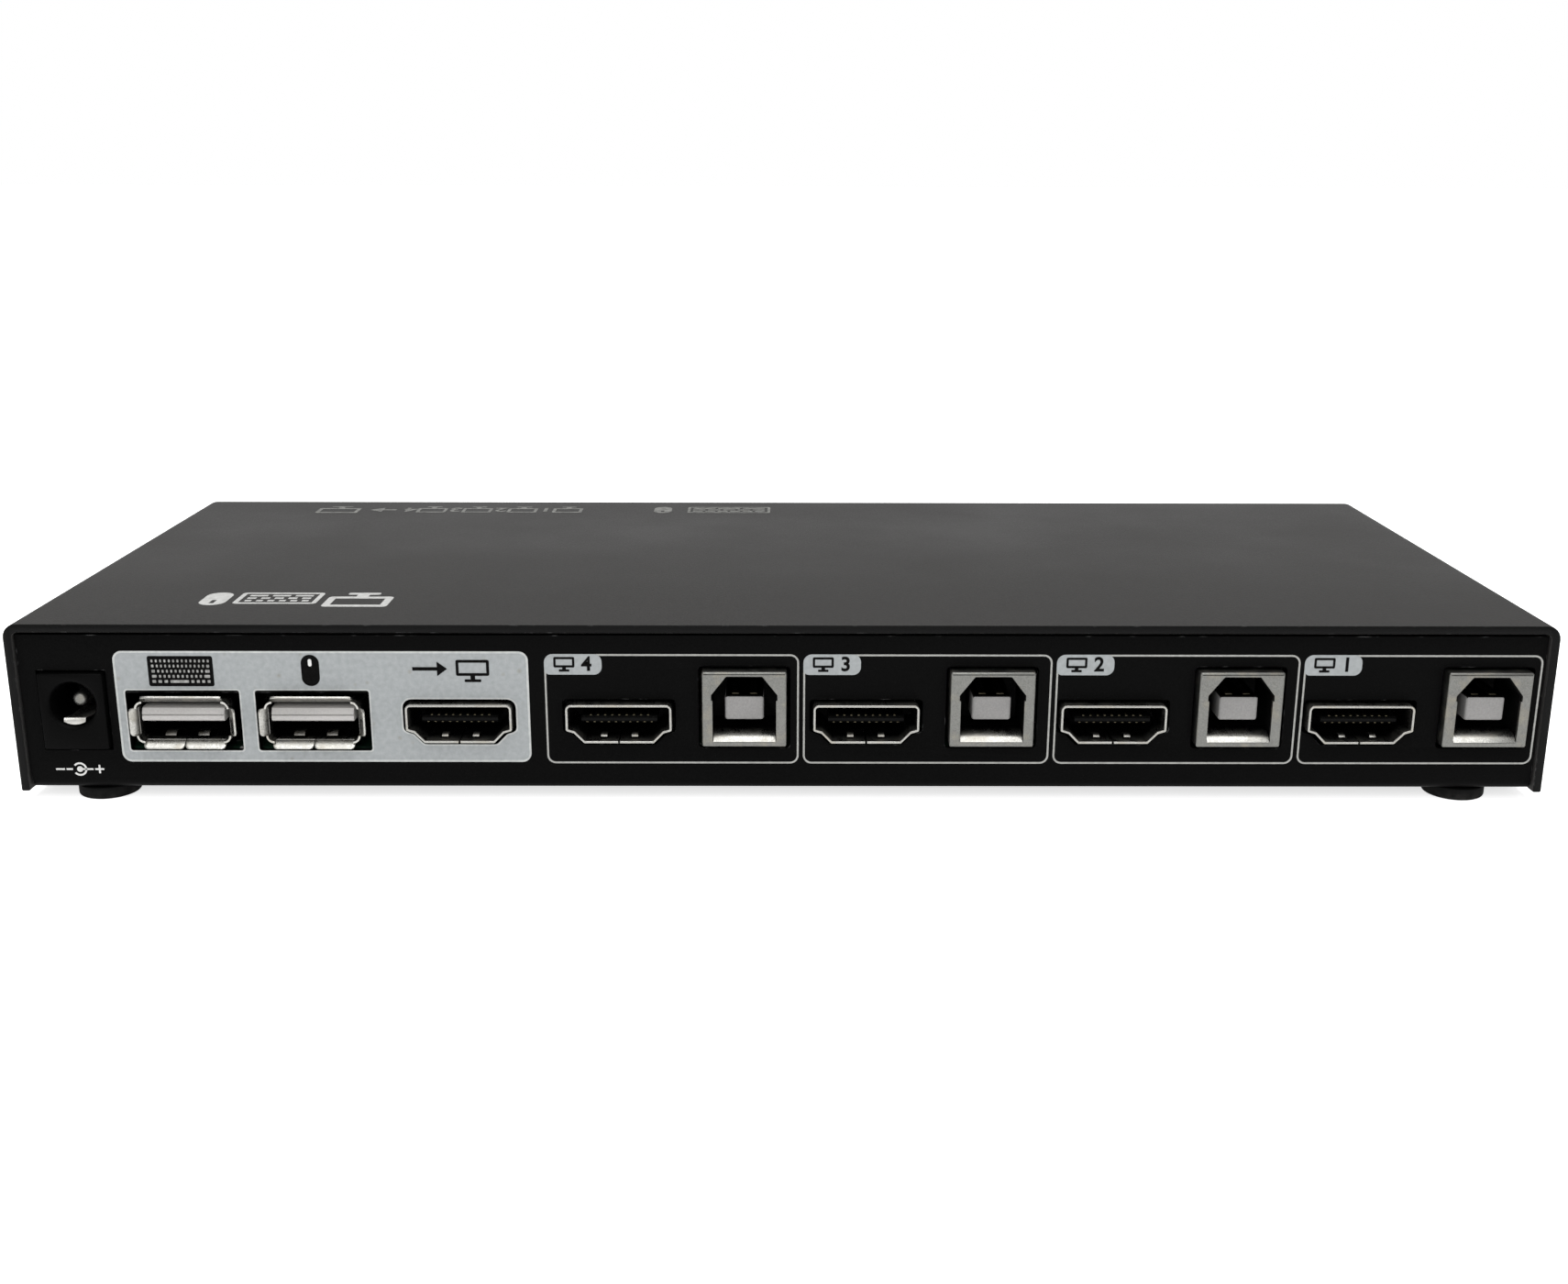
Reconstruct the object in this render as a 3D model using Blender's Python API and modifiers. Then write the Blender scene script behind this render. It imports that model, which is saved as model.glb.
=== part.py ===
"""A KVM switch: one keyboard, mouse and monitor shared by four computers, in a folded steel case.

Metres, +Z up. The sockets face -Y and the push buttons face +Y. The rubber feet stand on Z = 0, and
the origin lies on that surface, under the middle of the whole object.
"""

from math import cos, pi, radians, sin, tan

import bmesh
import bpy
from mathutils import Matrix, Vector

MM = 0.001
GAP = 0.3 * MM  # between pieces that touch

# Case
CASE_WIDTH = 214.0 * MM
CASE_DEPTH = 87.0 * MM
CASE_HEIGHT = 24.0 * MM
FOOT_HEIGHT = 2.0 * MM
FOOT_RADIUS = 4.25 * MM
FOOT_X = 96.6 * MM
FOOT_SETBACK = 5.3 * MM  # from the case's rear or front edge to a foot's middle
SOCKET_PROUD = 0.7 * MM  # sockets in front of the case's rear edge
BUTTON_PROUD = 2.6 * MM  # buttons in front of the case's front edge
REAR_Y = (SOCKET_PROUD - BUTTON_PROUD - CASE_DEPTH) / 2
FRONT_Y = REAR_Y + CASE_DEPTH
BASE_Z = FOOT_HEIGHT  # underside of the tray, and the level that socket heights are measured from
TOP_Z = BASE_Z + CASE_HEIGHT

COVER_SHEET = 1.2 * MM
COVER_BEND = 2.0 * MM
COVER_SKIRT = 0.3 * MM  # how far the side walls hang below the tray
TRAY_SHEET = 1.0 * MM
TRAY_BEND = 1.3 * MM
TRAY_HALF_WIDTH = CASE_WIDTH / 2 - COVER_SHEET - GAP
PANEL_RECESS = 0.4 * MM
PANEL_HEIGHT = 22.4 * MM
REAR_PANEL_Y = REAR_Y + PANEL_RECESS
FRONT_PANEL_Y = FRONT_Y - PANEL_RECESS

# Cover screws, in tabs that stand up from the tray's sides
TAB_Y = 21.0 * MM
TAB_HALF_WIDTH = 6.0 * MM
TAB_HEIGHT = 15.0 * MM
TAB_SCREW_HEIGHT = 10.5 * MM
SCREW_RADIUS = 1.5 * MM
SCREW_HOLE_RADIUS = 1.8 * MM
SCREW_HEAD_RADIUS = 2.75 * MM

# Circuit board
BOARD_TOP = 5.7 * MM
BOARD_SHEET = 1.6 * MM
BOARD_HALF_WIDTH = 104.1 * MM
BOARD_REAR_Y = REAR_PANEL_Y + TRAY_SHEET + 0.6 * MM
BOARD_FRONT_Y = FRONT_PANEL_Y - TRAY_SHEET - 3.7 * MM
BOARD_SCREW_X = 97.0 * MM
BOARD_SCREW_YS = (-22.0 * MM, 27.0 * MM)
BOSS_RADIUS = 3.2 * MM
ON_BOARD = BOARD_TOP + GAP  # where what stands on the board begins

# Sockets: places across the panel, and heights above the tray's underside
SOCKET_FACE_Y = REAR_Y - SOCKET_PROUD
PC_PITCH = 34.4 * MM
PC4_VIDEO_X = -22.82 * MM
PC4_USB_X = -5.37 * MM
VIDEO_OUT_X = -45.0 * MM
KEYBOARD_USB_X = -83.25 * MM
MOUSE_USB_X = -65.3 * MM
INLET_X = -98.4 * MM
COMPUTERS = (1, 2, 3, 4)
SOCKET_CLEARANCE = 0.5 * MM

FLAT_USB_WIDTH = 13.1 * MM
FLAT_USB_HEIGHT = 6.1 * MM
FLAT_USB_BASE = 7.0 * MM
FLAT_USB_DEPTH = 13.7 * MM
FLAT_USB_SHEET = 0.3 * MM
FLAT_USB_CORNER = 1.1 * MM
FLARE_LENGTH = 1.1 * MM
FLARE_RISE = 0.85 * MM
FLARE_HALF_WIDTH = 5.8 * MM
SIDE_FLARE_HALF_HEIGHT = 2.0 * MM
FLAT_USB_CUTOUT = (15.8 * MM, 8.5 * MM)
FLAT_USB_CUTOUT_MIDDLE = 9.85 * MM
FLAT_USB_ROOT = 9.0 * MM  # how far in the plastic body begins, behind the tongue
FLAT_TONGUE_HALF_WIDTH = 5.7 * MM
FLAT_TONGUE = (3.1 * MM, 5.05 * MM)  # its lower and upper face, above the shell's underside
FLAT_TONGUE_TIP = 0.6 * MM

VIDEO_BASE = 7.1 * MM
VIDEO_DEPTH = 9.5 * MM
VIDEO_SHEET = 0.4 * MM
VIDEO_CORNERS = [
    (x * MM, z * MM)
    for x, z in (
        (-4.85, 0.0),
        (4.85, 0.0),
        (6.25, 1.45),
        (7.37, 1.8),
        (7.37, 5.6),
        (-7.37, 5.6),
        (-7.37, 1.8),
        (-6.25, 1.45),
    )
]
VIDEO_RADII = [r * MM for r in (0.3, 0.3, 0.25, 0.3, 0.75, 0.75, 0.3, 0.25)]
VIDEO_ROOT = 7.0 * MM
VIDEO_TONGUE_HALF_WIDTH = 5.3 * MM
VIDEO_TONGUE = (2.7 * MM, 3.6 * MM)
VIDEO_TONGUE_TIP = 1.3 * MM
VIDEO_FOOT = (5.5 * MM, 3.4 * MM)  # half its width, and its top above the shell's underside

SQUARE_USB_WIDTH = 11.75 * MM
SQUARE_USB_HEIGHT = 10.9 * MM
SQUARE_USB_BASE = 6.6 * MM
SQUARE_USB_DEPTH = 16.0 * MM
SQUARE_USB_SHEET = 0.4 * MM
SQUARE_USB_FACE = 0.5 * MM
SQUARE_MOUTH_HALF_WIDTH = 4.4 * MM
SQUARE_MOUTH = (0.85 * MM, 10.25 * MM)
SQUARE_CAVITY_HALF_WIDTH = 4.55 * MM
SQUARE_CAVITY = (1.5 * MM, 10.0 * MM)
SQUARE_CAVITY_FLOOR = 9.5 * MM
SQUARE_TONGUE_HALF_WIDTH = 2.6 * MM
SQUARE_TONGUE = (3.8 * MM, 7.1 * MM)
SQUARE_TONGUE_TIP = 1.3 * MM
INSERT_TAIL = 1.5 * MM  # how far a socket's plastic goes on behind its shell

INLET_PROUD = 0.3 * MM  # in front of the case's rear edge
INLET_HALF_WIDTH = 4.5 * MM
INLET_HEIGHT = 11.0 * MM
INLET_DEPTH = 14.0 * MM
INLET_BORE_HEIGHT = 12.5 * MM
INLET_BORE_RADIUS = 3.15 * MM
INLET_BORE_DEPTH = 9.8 * MM
INLET_PIN_RADIUS = 1.0 * MM

# Select buttons, numbered from the left as seen from the front
BUTTON_PITCH = 24.0 * MM
BUTTON_RADIUS = 3.8 * MM
BUTTON_FLANGE_RADIUS = 4.5 * MM
BUTTON_FLANGE = 0.8 * MM
BUTTON_TRAVEL = 2.0 * MM
SWITCH_SIZE = 8.5 * MM
SWITCH_DEPTH = 9.0 * MM
BUTTON_HEIGHT = ON_BOARD + SWITCH_SIZE / 2
PLUNGER_HALF_WIDTH = 1.65 * MM

# Light guide
LAMP_HEIGHT = 18.1 * MM
LAMP_RADIUS = 1.25 * MM
LAMP_BEND = 4.0 * MM
LAMP_REAR_Y = 24.0 * MM

# What an outline's two coordinates and its draw direction are, for each axis it is drawn out along
PLANES = {
    "X": Matrix(((0, 0, 1), (1, 0, 0), (0, 1, 0))),
    "Y": Matrix(((1, 0, 0), (0, 0, -1), (0, 1, 0))),
    "Z": Matrix.Identity(3),
}
FACING_REAR = (pi / 2, 0, 0)  # turns a piece's own +Z to -Y
FACING_FRONT = (-pi / 2, 0, 0)


def clear_scene():
    for old in list(bpy.data.objects):
        bpy.data.objects.remove(old)


def collection(name):
    made = bpy.data.collections.new(name)
    bpy.context.scene.collection.children.link(made)
    return made


def material(name, colour, roughness, metallic=0.0):
    made = bpy.data.materials.new(name)
    made.use_nodes = True
    shader = made.node_tree.nodes["Principled BSDF"]
    shader.inputs["Base Color"].default_value = (*colour, 1.0)
    shader.inputs["Roughness"].default_value = roughness
    shader.inputs["Metallic"].default_value = metallic
    return made


def steel(name):
    return material(name, (0.52, 0.52, 0.5), 0.3, 1.0)


def pale_plastic(name):
    return material(name, (0.42, 0.42, 0.39), 0.5)


def black_plastic(name):
    return material(name, (0.02, 0.02, 0.02), 0.45)


def add(name, mesh, finish, place=(0, 0, 0), turn=(0, 0, 0)):
    """A new part, or a cutter where it has no finish."""
    piece = bpy.data.objects.new(name, mesh)
    piece.location = place
    piece.rotation_euler = turn
    if finish is None:
        CUTTERS.objects.link(piece)
        piece.hide_render = True
        piece.display_type = "WIRE"
    else:
        PARTS.objects.link(piece)
        mesh.materials.clear()
        mesh.materials.append(finish)
    return piece


def evaluated_mesh(piece):
    bpy.context.view_layer.update()
    graph = bpy.context.evaluated_depsgraph_get()
    return bpy.data.meshes.new_from_object(piece.evaluated_get(graph))


def welded(mesh):
    """Joins a curve's loose caps to its sides and turns its faces outwards."""
    bm = bmesh.new()
    bm.from_mesh(mesh)
    bmesh.ops.remove_doubles(bm, verts=bm.verts, dist=0.000002)
    bmesh.ops.recalc_face_normals(bm, faces=bm.faces)
    bm.to_mesh(mesh)
    bm.free()
    return mesh


def millimetres(*points):
    return [tuple(value * MM for value in point) for point in points]


def rectangle(left, bottom, right, top):
    return [(left, bottom), (right, bottom), (right, top), (left, top)]


def shifted(outline, across, up):
    return [(point[0] + across, point[1] + up) for point in outline]


def inset(corners, distance):
    """A counter-clockwise outline with each side moved inwards, or outwards below zero."""
    moved = []
    for index, corner in enumerate(corners):
        here = Vector(corner)
        arriving = (here - Vector(corners[index - 1])).normalized()
        leaving = (Vector(corners[(index + 1) % len(corners)]) - here).normalized()
        normal = Vector((-arriving.y, arriving.x))
        inwards = (normal + Vector((-leaving.y, leaving.x))).normalized()
        moved.append(here + inwards * distance / inwards.dot(normal))
    return moved


def rounded(corners, radius, steps=4):
    """The outline with its corners as arcs. radius is one number or one a corner, and 0 stays sharp."""
    radii = radius if isinstance(radius, list) else [radius] * len(corners)
    outline = []
    for index, corner in enumerate(corners):
        corner = Vector(corner)
        if radii[index] <= 0:
            outline.append(corner)
            continue
        back = (Vector(corners[index - 1]) - corner).normalized()
        onward = (Vector(corners[(index + 1) % len(corners)]) - corner).normalized()
        half_angle = back.angle(onward) / 2
        reach = radii[index] / tan(half_angle)
        centre = corner + (back + onward).normalized() * radii[index] / sin(half_angle)
        first = (corner + back * reach - centre).normalized()
        last = (corner + onward * reach - centre).normalized()
        spokes = [first.slerp(last, step / steps) for step in range(steps + 1)]
        outline += [centre + spoke * radii[index] for spoke in spokes]
    return outline


def extruded(name, loops, axis, start, end, finish=None, place=(0, 0, 0)):
    """A flat outline drawn out along an axis from start to end. Loops after the first are holes."""
    curve = bpy.data.curves.new(name, "CURVE")
    curve.dimensions = "2D"
    curve.fill_mode = "BOTH"
    curve.extrude = (end - start) / 2
    for loop in loops:
        spline = curve.splines.new("POLY")
        spline.points.add(len(loop) - 1)
        spline.use_cyclic_u = True
        for point, (across, up) in zip(spline.points, loop):
            point.co = (across, up, 0, 1)
    drawing = bpy.data.objects.new(name, curve)
    bpy.context.scene.collection.objects.link(drawing)
    mesh = evaluated_mesh(drawing)
    bpy.data.objects.remove(drawing)
    middle = Vector([(start + end) / 2 if letter == axis else 0 for letter in "XYZ"])
    mesh.transform(Matrix.Translation(middle) @ PLANES[axis].to_4x4())
    return add(name, welded(mesh), finish, place)


def box(name, low, high, finish=None, place=(0, 0, 0), bevel=0.0):
    bm = bmesh.new()
    bmesh.ops.create_cube(bm, size=1.0)
    middle = (Vector(low) + Vector(high)) / 2
    size = Vector(high) - Vector(low)
    stretch = Matrix.Translation(middle) @ Matrix.Diagonal((*size, 1))
    bmesh.ops.transform(bm, matrix=stretch, verts=bm.verts)
    mesh = bpy.data.meshes.new(name)
    bm.to_mesh(mesh)
    bm.free()
    piece = add(name, mesh, finish, place)
    if bevel:
        edges = piece.modifiers.new("edges", "BEVEL")
        edges.width = bevel
        edges.segments = 2
        edges.limit_method = "NONE"
    return piece


def turned(name, profile, finish=None, place=(0, 0, 0), turn=(0, 0, 0), steps=24):
    """A solid of revolution about its own Z. The profile is (radius, height), down the outer side."""
    mesh = bpy.data.meshes.new(name)
    edges = [(index, index + 1) for index in range(len(profile) - 1)]
    mesh.from_pydata([(radius, 0, height) for radius, height in profile], edges, [])
    piece = add(name, mesh, finish, place, turn)
    screw = piece.modifiers.new("turn", "SCREW")
    screw.axis = "Z"
    screw.angle = 2 * pi
    screw.steps = steps
    screw.render_steps = steps
    screw.use_merge_vertices = True
    screw.merge_threshold = 0.00001
    settle(piece)
    piece.data.shade_smooth()
    piece.data.set_sharp_from_angle(angle=radians(35))
    return piece


def combine(target, tool, operation):
    boolean = target.modifiers.new(tool.name, "BOOLEAN")
    boolean.operation = operation
    boolean.object = tool


def cut(target, *cutters):
    for cutter in cutters:
        combine(target, cutter, "DIFFERENCE")


def join(target, *pieces):
    for piece in pieces:
        combine(target, piece, "UNION")


def settle(piece):
    """Turns a piece's modifiers into mesh, so that copies can share it, and removes what cut it."""
    mesh = evaluated_mesh(piece)
    tools = [modifier.object for modifier in piece.modifiers if modifier.type == "BOOLEAN"]
    piece.modifiers.clear()
    piece.data = mesh
    for tool in tools:
        bpy.data.objects.remove(tool)


def copy(piece, name, place, turn=None):
    """Another of the same piece, sharing its mesh."""
    twin = bpy.data.objects.new(name, piece.data)
    twin.location = place
    twin.rotation_euler = piece.rotation_euler if turn is None else turn
    PARTS.objects.link(twin)
    return twin


def place_all(piece, places):
    """Moves a piece to the first place and puts a copy at each of the others. places is name to place."""
    first, *others = places
    piece.name = first
    piece.location = places[first]
    for name in others:
        copy(piece, name, places[name])


def panel_places(pattern, across, y=SOCKET_FACE_Y):
    """Where each socket of a kind goes: its name, and its own origin at the tray's underside level."""
    return {pattern.format(label): (x, y, BASE_Z) for label, x in across.items()}


FLAT_USB_XS = {"keyboard": KEYBOARD_USB_X, "mouse": MOUSE_USB_X}
VIDEO_XS = {"video_out": VIDEO_OUT_X}
SQUARE_USB_XS = {}
for computer in COMPUTERS:
    steps_across = COMPUTERS[-1] - computer
    VIDEO_XS[f"pc{computer}_video"] = PC4_VIDEO_X + steps_across * PC_PITCH
    SQUARE_USB_XS[f"pc{computer}"] = PC4_USB_X + steps_across * PC_PITCH
BUTTON_XS = {n: BUTTON_PITCH * (2.5 - n) for n in (1, 2, 3, 4)}
CORNERS = {
    "rear_left": (-1, REAR_Y),
    "rear_right": (1, REAR_Y),
    "front_left": (-1, FRONT_Y),
    "front_right": (1, FRONT_Y),
}


def cross_recess(depth):
    """The two slots of a cross-head screw's recess."""
    long, narrow = 1.6 * MM, 0.35 * MM
    return [
        box("recess_a", (-long, -narrow, -depth), (long, narrow, depth)),
        box("recess_b", (-narrow, -long, -depth), (narrow, long, depth)),
    ]


# The case


def countersink(name, side, y):
    """The hole for a cover screw, through the cover and the tab behind it."""
    wide = SCREW_HEAD_RADIUS + 0.45 * MM
    narrow = SCREW_HOLE_RADIUS
    above = 0.5 * MM
    profile = [
        (0, above),
        (wide + above, above),
        (narrow, narrow - wide),
        (narrow, -4 * MM),
        (0, -4 * MM),
    ]
    place = (side * CASE_WIDTH / 2, y, BASE_Z + TAB_SCREW_HEIGHT)
    return turned(name, profile, None, place, (0, side * pi / 2, 0))


def make_cover(screw_holes):
    half, low = CASE_WIDTH / 2, BASE_Z - COVER_SKIRT
    inner, under = half - COVER_SHEET, TOP_Z - COVER_SHEET
    corners = [
        (-half, low),
        (-inner, low),
        (-inner, under),
        (inner, under),
        (inner, low),
        (half, low),
        (half, TOP_Z),
        (-half, TOP_Z),
    ]
    edge, inside = 0.25 * MM, COVER_BEND - COVER_SHEET
    radii = [edge, edge, inside, inside, edge, edge, COVER_BEND, COVER_BEND]
    paint = material("cover_paint", (0.075, 0.075, 0.068), 0.5, 0.1)
    cover = extruded("top_cover", [rounded(corners, radii, 6)], "Y", REAR_Y, FRONT_Y, paint)
    cut(cover, *screw_holes)


def make_tray(screw_holes):
    high, floor = BASE_Z + PANEL_HEIGHT, BASE_Z + TRAY_SHEET
    rear_inside, front_inside = REAR_PANEL_Y + TRAY_SHEET, FRONT_PANEL_Y - TRAY_SHEET
    corners = [
        (REAR_PANEL_Y, high),
        (REAR_PANEL_Y, BASE_Z),
        (FRONT_PANEL_Y, BASE_Z),
        (FRONT_PANEL_Y, high),
        (front_inside, high),
        (front_inside, floor),
        (rear_inside, floor),
        (rear_inside, high),
    ]
    inside = TRAY_BEND - TRAY_SHEET
    radii = [0, TRAY_BEND, TRAY_BEND, 0, 0, inside, inside, 0]
    paint = material("tray_paint", (0.012, 0.012, 0.012), 0.5, 0.1)
    outline = rounded(corners, radii)
    tray = extruded("base_tray", [outline], "X", -TRAY_HALF_WIDTH, TRAY_HALF_WIDTH, paint)
    for side in (-1, 1):
        for y in (-TAB_Y, TAB_Y):
            join(tray, side_tab(side, y))
    for side in (-1, 1):
        for y in BOARD_SCREW_YS:
            join(tray, boss(side * BOARD_SCREW_X, y))
            cut(tray, board_screw_hole("boss_hole", side * BOARD_SCREW_X, y))
    cut(tray, *screw_holes, *socket_cutouts(), *front_cutouts())


def side_tab(side, y):
    low = (TRAY_HALF_WIDTH - TRAY_SHEET, y - TAB_HALF_WIDTH, BASE_Z + TRAY_SHEET / 3)
    high = (TRAY_HALF_WIDTH, y + TAB_HALF_WIDTH, BASE_Z + TAB_HEIGHT)
    if side < 0:
        low, high = (-high[0], *low[1:]), (-low[0], *high[1:])
    return box("side_tab", low, high)


def boss(x, y):
    """A raised boss in the tray's floor, which the board is screwed down to."""
    top = BOARD_TOP - BOARD_SHEET - GAP
    profile = [(0, top), (BOSS_RADIUS, top), (BOSS_RADIUS, TRAY_SHEET / 2), (0, TRAY_SHEET / 2)]
    return turned("boss", profile, None, (x, y, BASE_Z), steps=20)


def board_screw_hole(name, x, y):
    profile = [
        (0, 10 * MM),
        (SCREW_HOLE_RADIUS, 10 * MM),
        (SCREW_HOLE_RADIUS, -2 * MM),
        (0, -2 * MM),
    ]
    return turned(name, profile, None, (x, y, BASE_Z), steps=20)


def panel_cutter(name, outline, x, panel_y):
    """A cutter through the panel at panel_y. The outline's heights are above the tray's underside."""
    reach = 3 * MM
    return extruded(name, [shifted(outline, x, BASE_Z)], "Y", panel_y - reach, panel_y + reach)


def socket_cutouts():
    cutters = []
    wide, high = FLAT_USB_CUTOUT
    middle = FLAT_USB_CUTOUT_MIDDLE
    flat = rounded(rectangle(-wide / 2, middle - high / 2, wide / 2, middle + high / 2), 0.3 * MM, 2)
    for label, x in FLAT_USB_XS.items():
        cutters.append(panel_cutter(f"{label}_usb_cutout", flat, x, REAR_PANEL_Y))
    video = rounded(inset(shifted(VIDEO_CORNERS, 0, VIDEO_BASE), -SOCKET_CLEARANCE), 0.5 * MM, 3)
    for label, x in VIDEO_XS.items():
        cutters.append(panel_cutter(f"{label}_cutout", video, x, REAR_PANEL_Y))
    square = rounded(inset(square_usb_outline(), -SOCKET_CLEARANCE), 0.5 * MM, 2)
    for label, x in SQUARE_USB_XS.items():
        cutters.append(panel_cutter(f"{label}_usb_cutout", square, x, REAR_PANEL_Y))
    inlet = inset(inlet_outline(), -GAP)
    cutters.append(panel_cutter("inlet_cutout", inlet, INLET_X, REAR_PANEL_Y))
    return cutters


def front_cutouts():
    """The button holes and the lamp holes above them."""
    cutters = []
    for n, x in BUTTON_XS.items():
        for label, height, radius in (
            ("button", BUTTON_HEIGHT, BUTTON_RADIUS + GAP),
            ("lamp", LAMP_HEIGHT, LAMP_RADIUS + GAP),
        ):
            reach = 3 * MM
            profile = [(0, reach), (radius, reach), (radius, -reach), (0, -reach)]
            place = (x, FRONT_PANEL_Y, BASE_Z + height)
            cutters.append(turned(f"{label}_hole_{n}", profile, None, place, FACING_FRONT))
    return cutters


def make_feet():
    rubber = material("foot_rubber", (0.015, 0.015, 0.015), 0.8)
    top, chamfer = FOOT_HEIGHT - GAP, 0.35 * MM
    profile = [
        (0, top),
        (FOOT_RADIUS, top),
        (FOOT_RADIUS, chamfer),
        (FOOT_RADIUS - chamfer, 0),
        (0, 0),
    ]
    foot = turned("foot", profile, rubber)
    places = {}
    for label, (side, edge) in CORNERS.items():
        inwards = FOOT_SETBACK if edge < 0 else -FOOT_SETBACK
        places[f"foot_{label}"] = (side * FOOT_X, edge + inwards, 0)
    place_all(foot, places)


def make_cover_screws():
    """Countersunk screws, a little below the cover's surface. Their own +Z points out of the case."""
    sunk, radius = 0.15 * MM, SCREW_RADIUS
    cone_end = sunk + SCREW_HEAD_RADIUS - radius
    profile = [
        (0, -sunk / 2),
        (SCREW_HEAD_RADIUS - 0.1 * MM, -sunk / 2),
        (SCREW_HEAD_RADIUS, -sunk),
        (radius, -cone_end),
        (radius, -4.6 * MM),
        (radius - 0.4 * MM, -5 * MM),
        (0, -5 * MM),
    ]
    screw = turned("cover_screw_1", profile, steel("cover_screw_steel"), steps=20)
    cut(screw, *cross_recess(1.2 * MM))
    settle(screw)
    number = 0
    for side in (-1, 1):
        for y in (-TAB_Y, TAB_Y):
            number += 1
            place = (side * CASE_WIDTH / 2, y, BASE_Z + TAB_SCREW_HEIGHT)
            turn = (0, side * pi / 2, 0)
            if number == 1:
                screw.location = place
                screw.rotation_euler = turn
            else:
                copy(screw, f"cover_screw_{number}", place, turn)


# The board and what stands on it


def make_board():
    green = material("board_laminate", (0.02, 0.09, 0.04), 0.4)
    low = (-BOARD_HALF_WIDTH, BOARD_REAR_Y, BASE_Z + BOARD_TOP - BOARD_SHEET)
    high = (BOARD_HALF_WIDTH, BOARD_FRONT_Y, BASE_Z + BOARD_TOP)
    board = box("circuit_board", low, high, green)
    for side in (-1, 1):
        for y in BOARD_SCREW_YS:
            cut(board, board_screw_hole("board_hole", side * BOARD_SCREW_X, y))


def make_board_screws():
    """Pan-head screws with their own origin under the head."""
    head, radius, length = 2.6 * MM, SCREW_RADIUS, 4.6 * MM
    profile = [
        (0, 1.8 * MM),
        (1.3 * MM, 1.7 * MM),
        (2.15 * MM, 1.3 * MM),
        (head, 0.5 * MM),
        (head, 0),
        (radius, 0),
        (radius, 0.4 * MM - length),
        (radius - 0.4 * MM, -length),
        (0, -length),
    ]
    screw = turned("board_screw", profile, steel("board_screw_steel"), steps=20)
    recess = cross_recess(1.0 * MM)
    for slot in recess:
        slot.location.z = 1.8 * MM
    cut(screw, *recess)
    settle(screw)
    spots = [(side * BOARD_SCREW_X, y) for side in (-1, 1) for y in BOARD_SCREW_YS]
    place_all(screw, {f"board_screw_{n}": (x, y, BASE_Z + ON_BOARD) for n, (x, y) in enumerate(spots, 1)})


def chip(name, x, y, width, height):
    half = width / 2
    low = (x - half, y - half, BASE_Z + ON_BOARD)
    high = (x + half, y + half, BASE_Z + ON_BOARD + height)
    box(name, low, high, black_plastic(name + "_resin"), bevel=0.15 * MM)


def make_heat_sink(x, y, base):
    """A comb of upright fins on a flat base."""
    half, plate, height, fins, fin = 12 * MM, 1.5 * MM, 9 * MM, 7, 1.2 * MM
    pitch = (2 * half - fin) / (fins - 1)
    outline = [(-half, 0), (half, 0)]
    for index in reversed(range(fins)):
        left = -half + index * pitch
        outline += [(left + fin, height), (left, height)]
        if index:
            outline += [(left, plate), (left + fin - pitch, plate)]
    metal = material("heat_sink_aluminium", (0.05, 0.05, 0.055), 0.4, 0.6)
    extruded("heat_sink", [outline], "Y", -half, half, metal, (x, y, base))


def make_components():
    switch_x, switch_y, switch_height = 10 * MM, -4 * MM, 1.3 * MM
    chip("video_switch_chip", switch_x, switch_y, 14 * MM, switch_height)
    make_heat_sink(switch_x, switch_y, BASE_Z + ON_BOARD + switch_height + GAP)
    chip("usb_hub_chip", -62 * MM, -8 * MM, 7 * MM, 0.9 * MM)
    chip("controller_chip", -38 * MM, 6 * MM, 10 * MM, 1.2 * MM)
    floor = BASE_Z + ON_BOARD
    beeper = millimetres((0, 5.5), (1, 5.5), (1, 8.5), (5.6, 8.5), (6, 8.1), (6, 0), (0, 0))
    turned("beeper", beeper, black_plastic("beeper_case"), (74 * MM, 8 * MM, floor))
    can = [(0, 11.5), (3.6, 11.5), (4, 11.1), (4, 2.4), (3.7, 2), (4, 1.6), (4, 0.3), (3.7, 0), (0, 0)]
    sleeve = material("capacitor_sleeve", (0.02, 0.03, 0.08), 0.35)
    turned("bulk_capacitor", millimetres(*can), sleeve, (-86 * MM, -12 * MM, floor))
    ferrite = material("inductor_ferrite", (0.06, 0.06, 0.065), 0.6)
    low = (-83.5 * MM, 3.5 * MM, floor)
    high = (-76.5 * MM, 10.5 * MM, floor + 3.6 * MM)
    box("power_inductor", low, high, ferrite, bevel=0.7 * MM)


# Sockets. Each is modelled about its own origin: middle of its width, its front face, tray underside.


def insert_block(name, half_width, bottom, top, start, end, foot_start):
    """The plastic behind a socket's tongue, which fills the shell and stands on the board behind it."""
    block = box(name, (-half_width, start, bottom), (half_width, end, top))
    foot = box("insert_foot", (-half_width, foot_start, ON_BOARD), (half_width, end, top))
    join(block, foot)
    return block


def give_finish(piece, finish):
    """Makes a part out of what was made as a cutter."""
    CUTTERS.objects.unlink(piece)
    PARTS.objects.link(piece)
    piece.hide_render = False
    piece.display_type = "TEXTURED"
    piece.data.materials.clear()
    piece.data.materials.append(finish)


def flare_outline(edge):
    """The cross-section of a lead-in tab, bent outwards from a shell whose outer face is at edge.

    Its root lies inside the shell's sheet, so that the two join."""
    skin = 0.05 * MM
    root, fold = FLARE_LENGTH + 0.5 * MM, FLARE_LENGTH + 0.1 * MM
    inner, outer = edge - FLAT_USB_SHEET + skin, edge - skin
    return [
        (root, inner),
        (root, outer),
        (fold, outer),
        (0.2 * MM, edge + FLARE_RISE),
        (0, edge + FLARE_RISE - 0.15 * MM),
        (fold - 0.25 * MM, inner),
    ]


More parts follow.
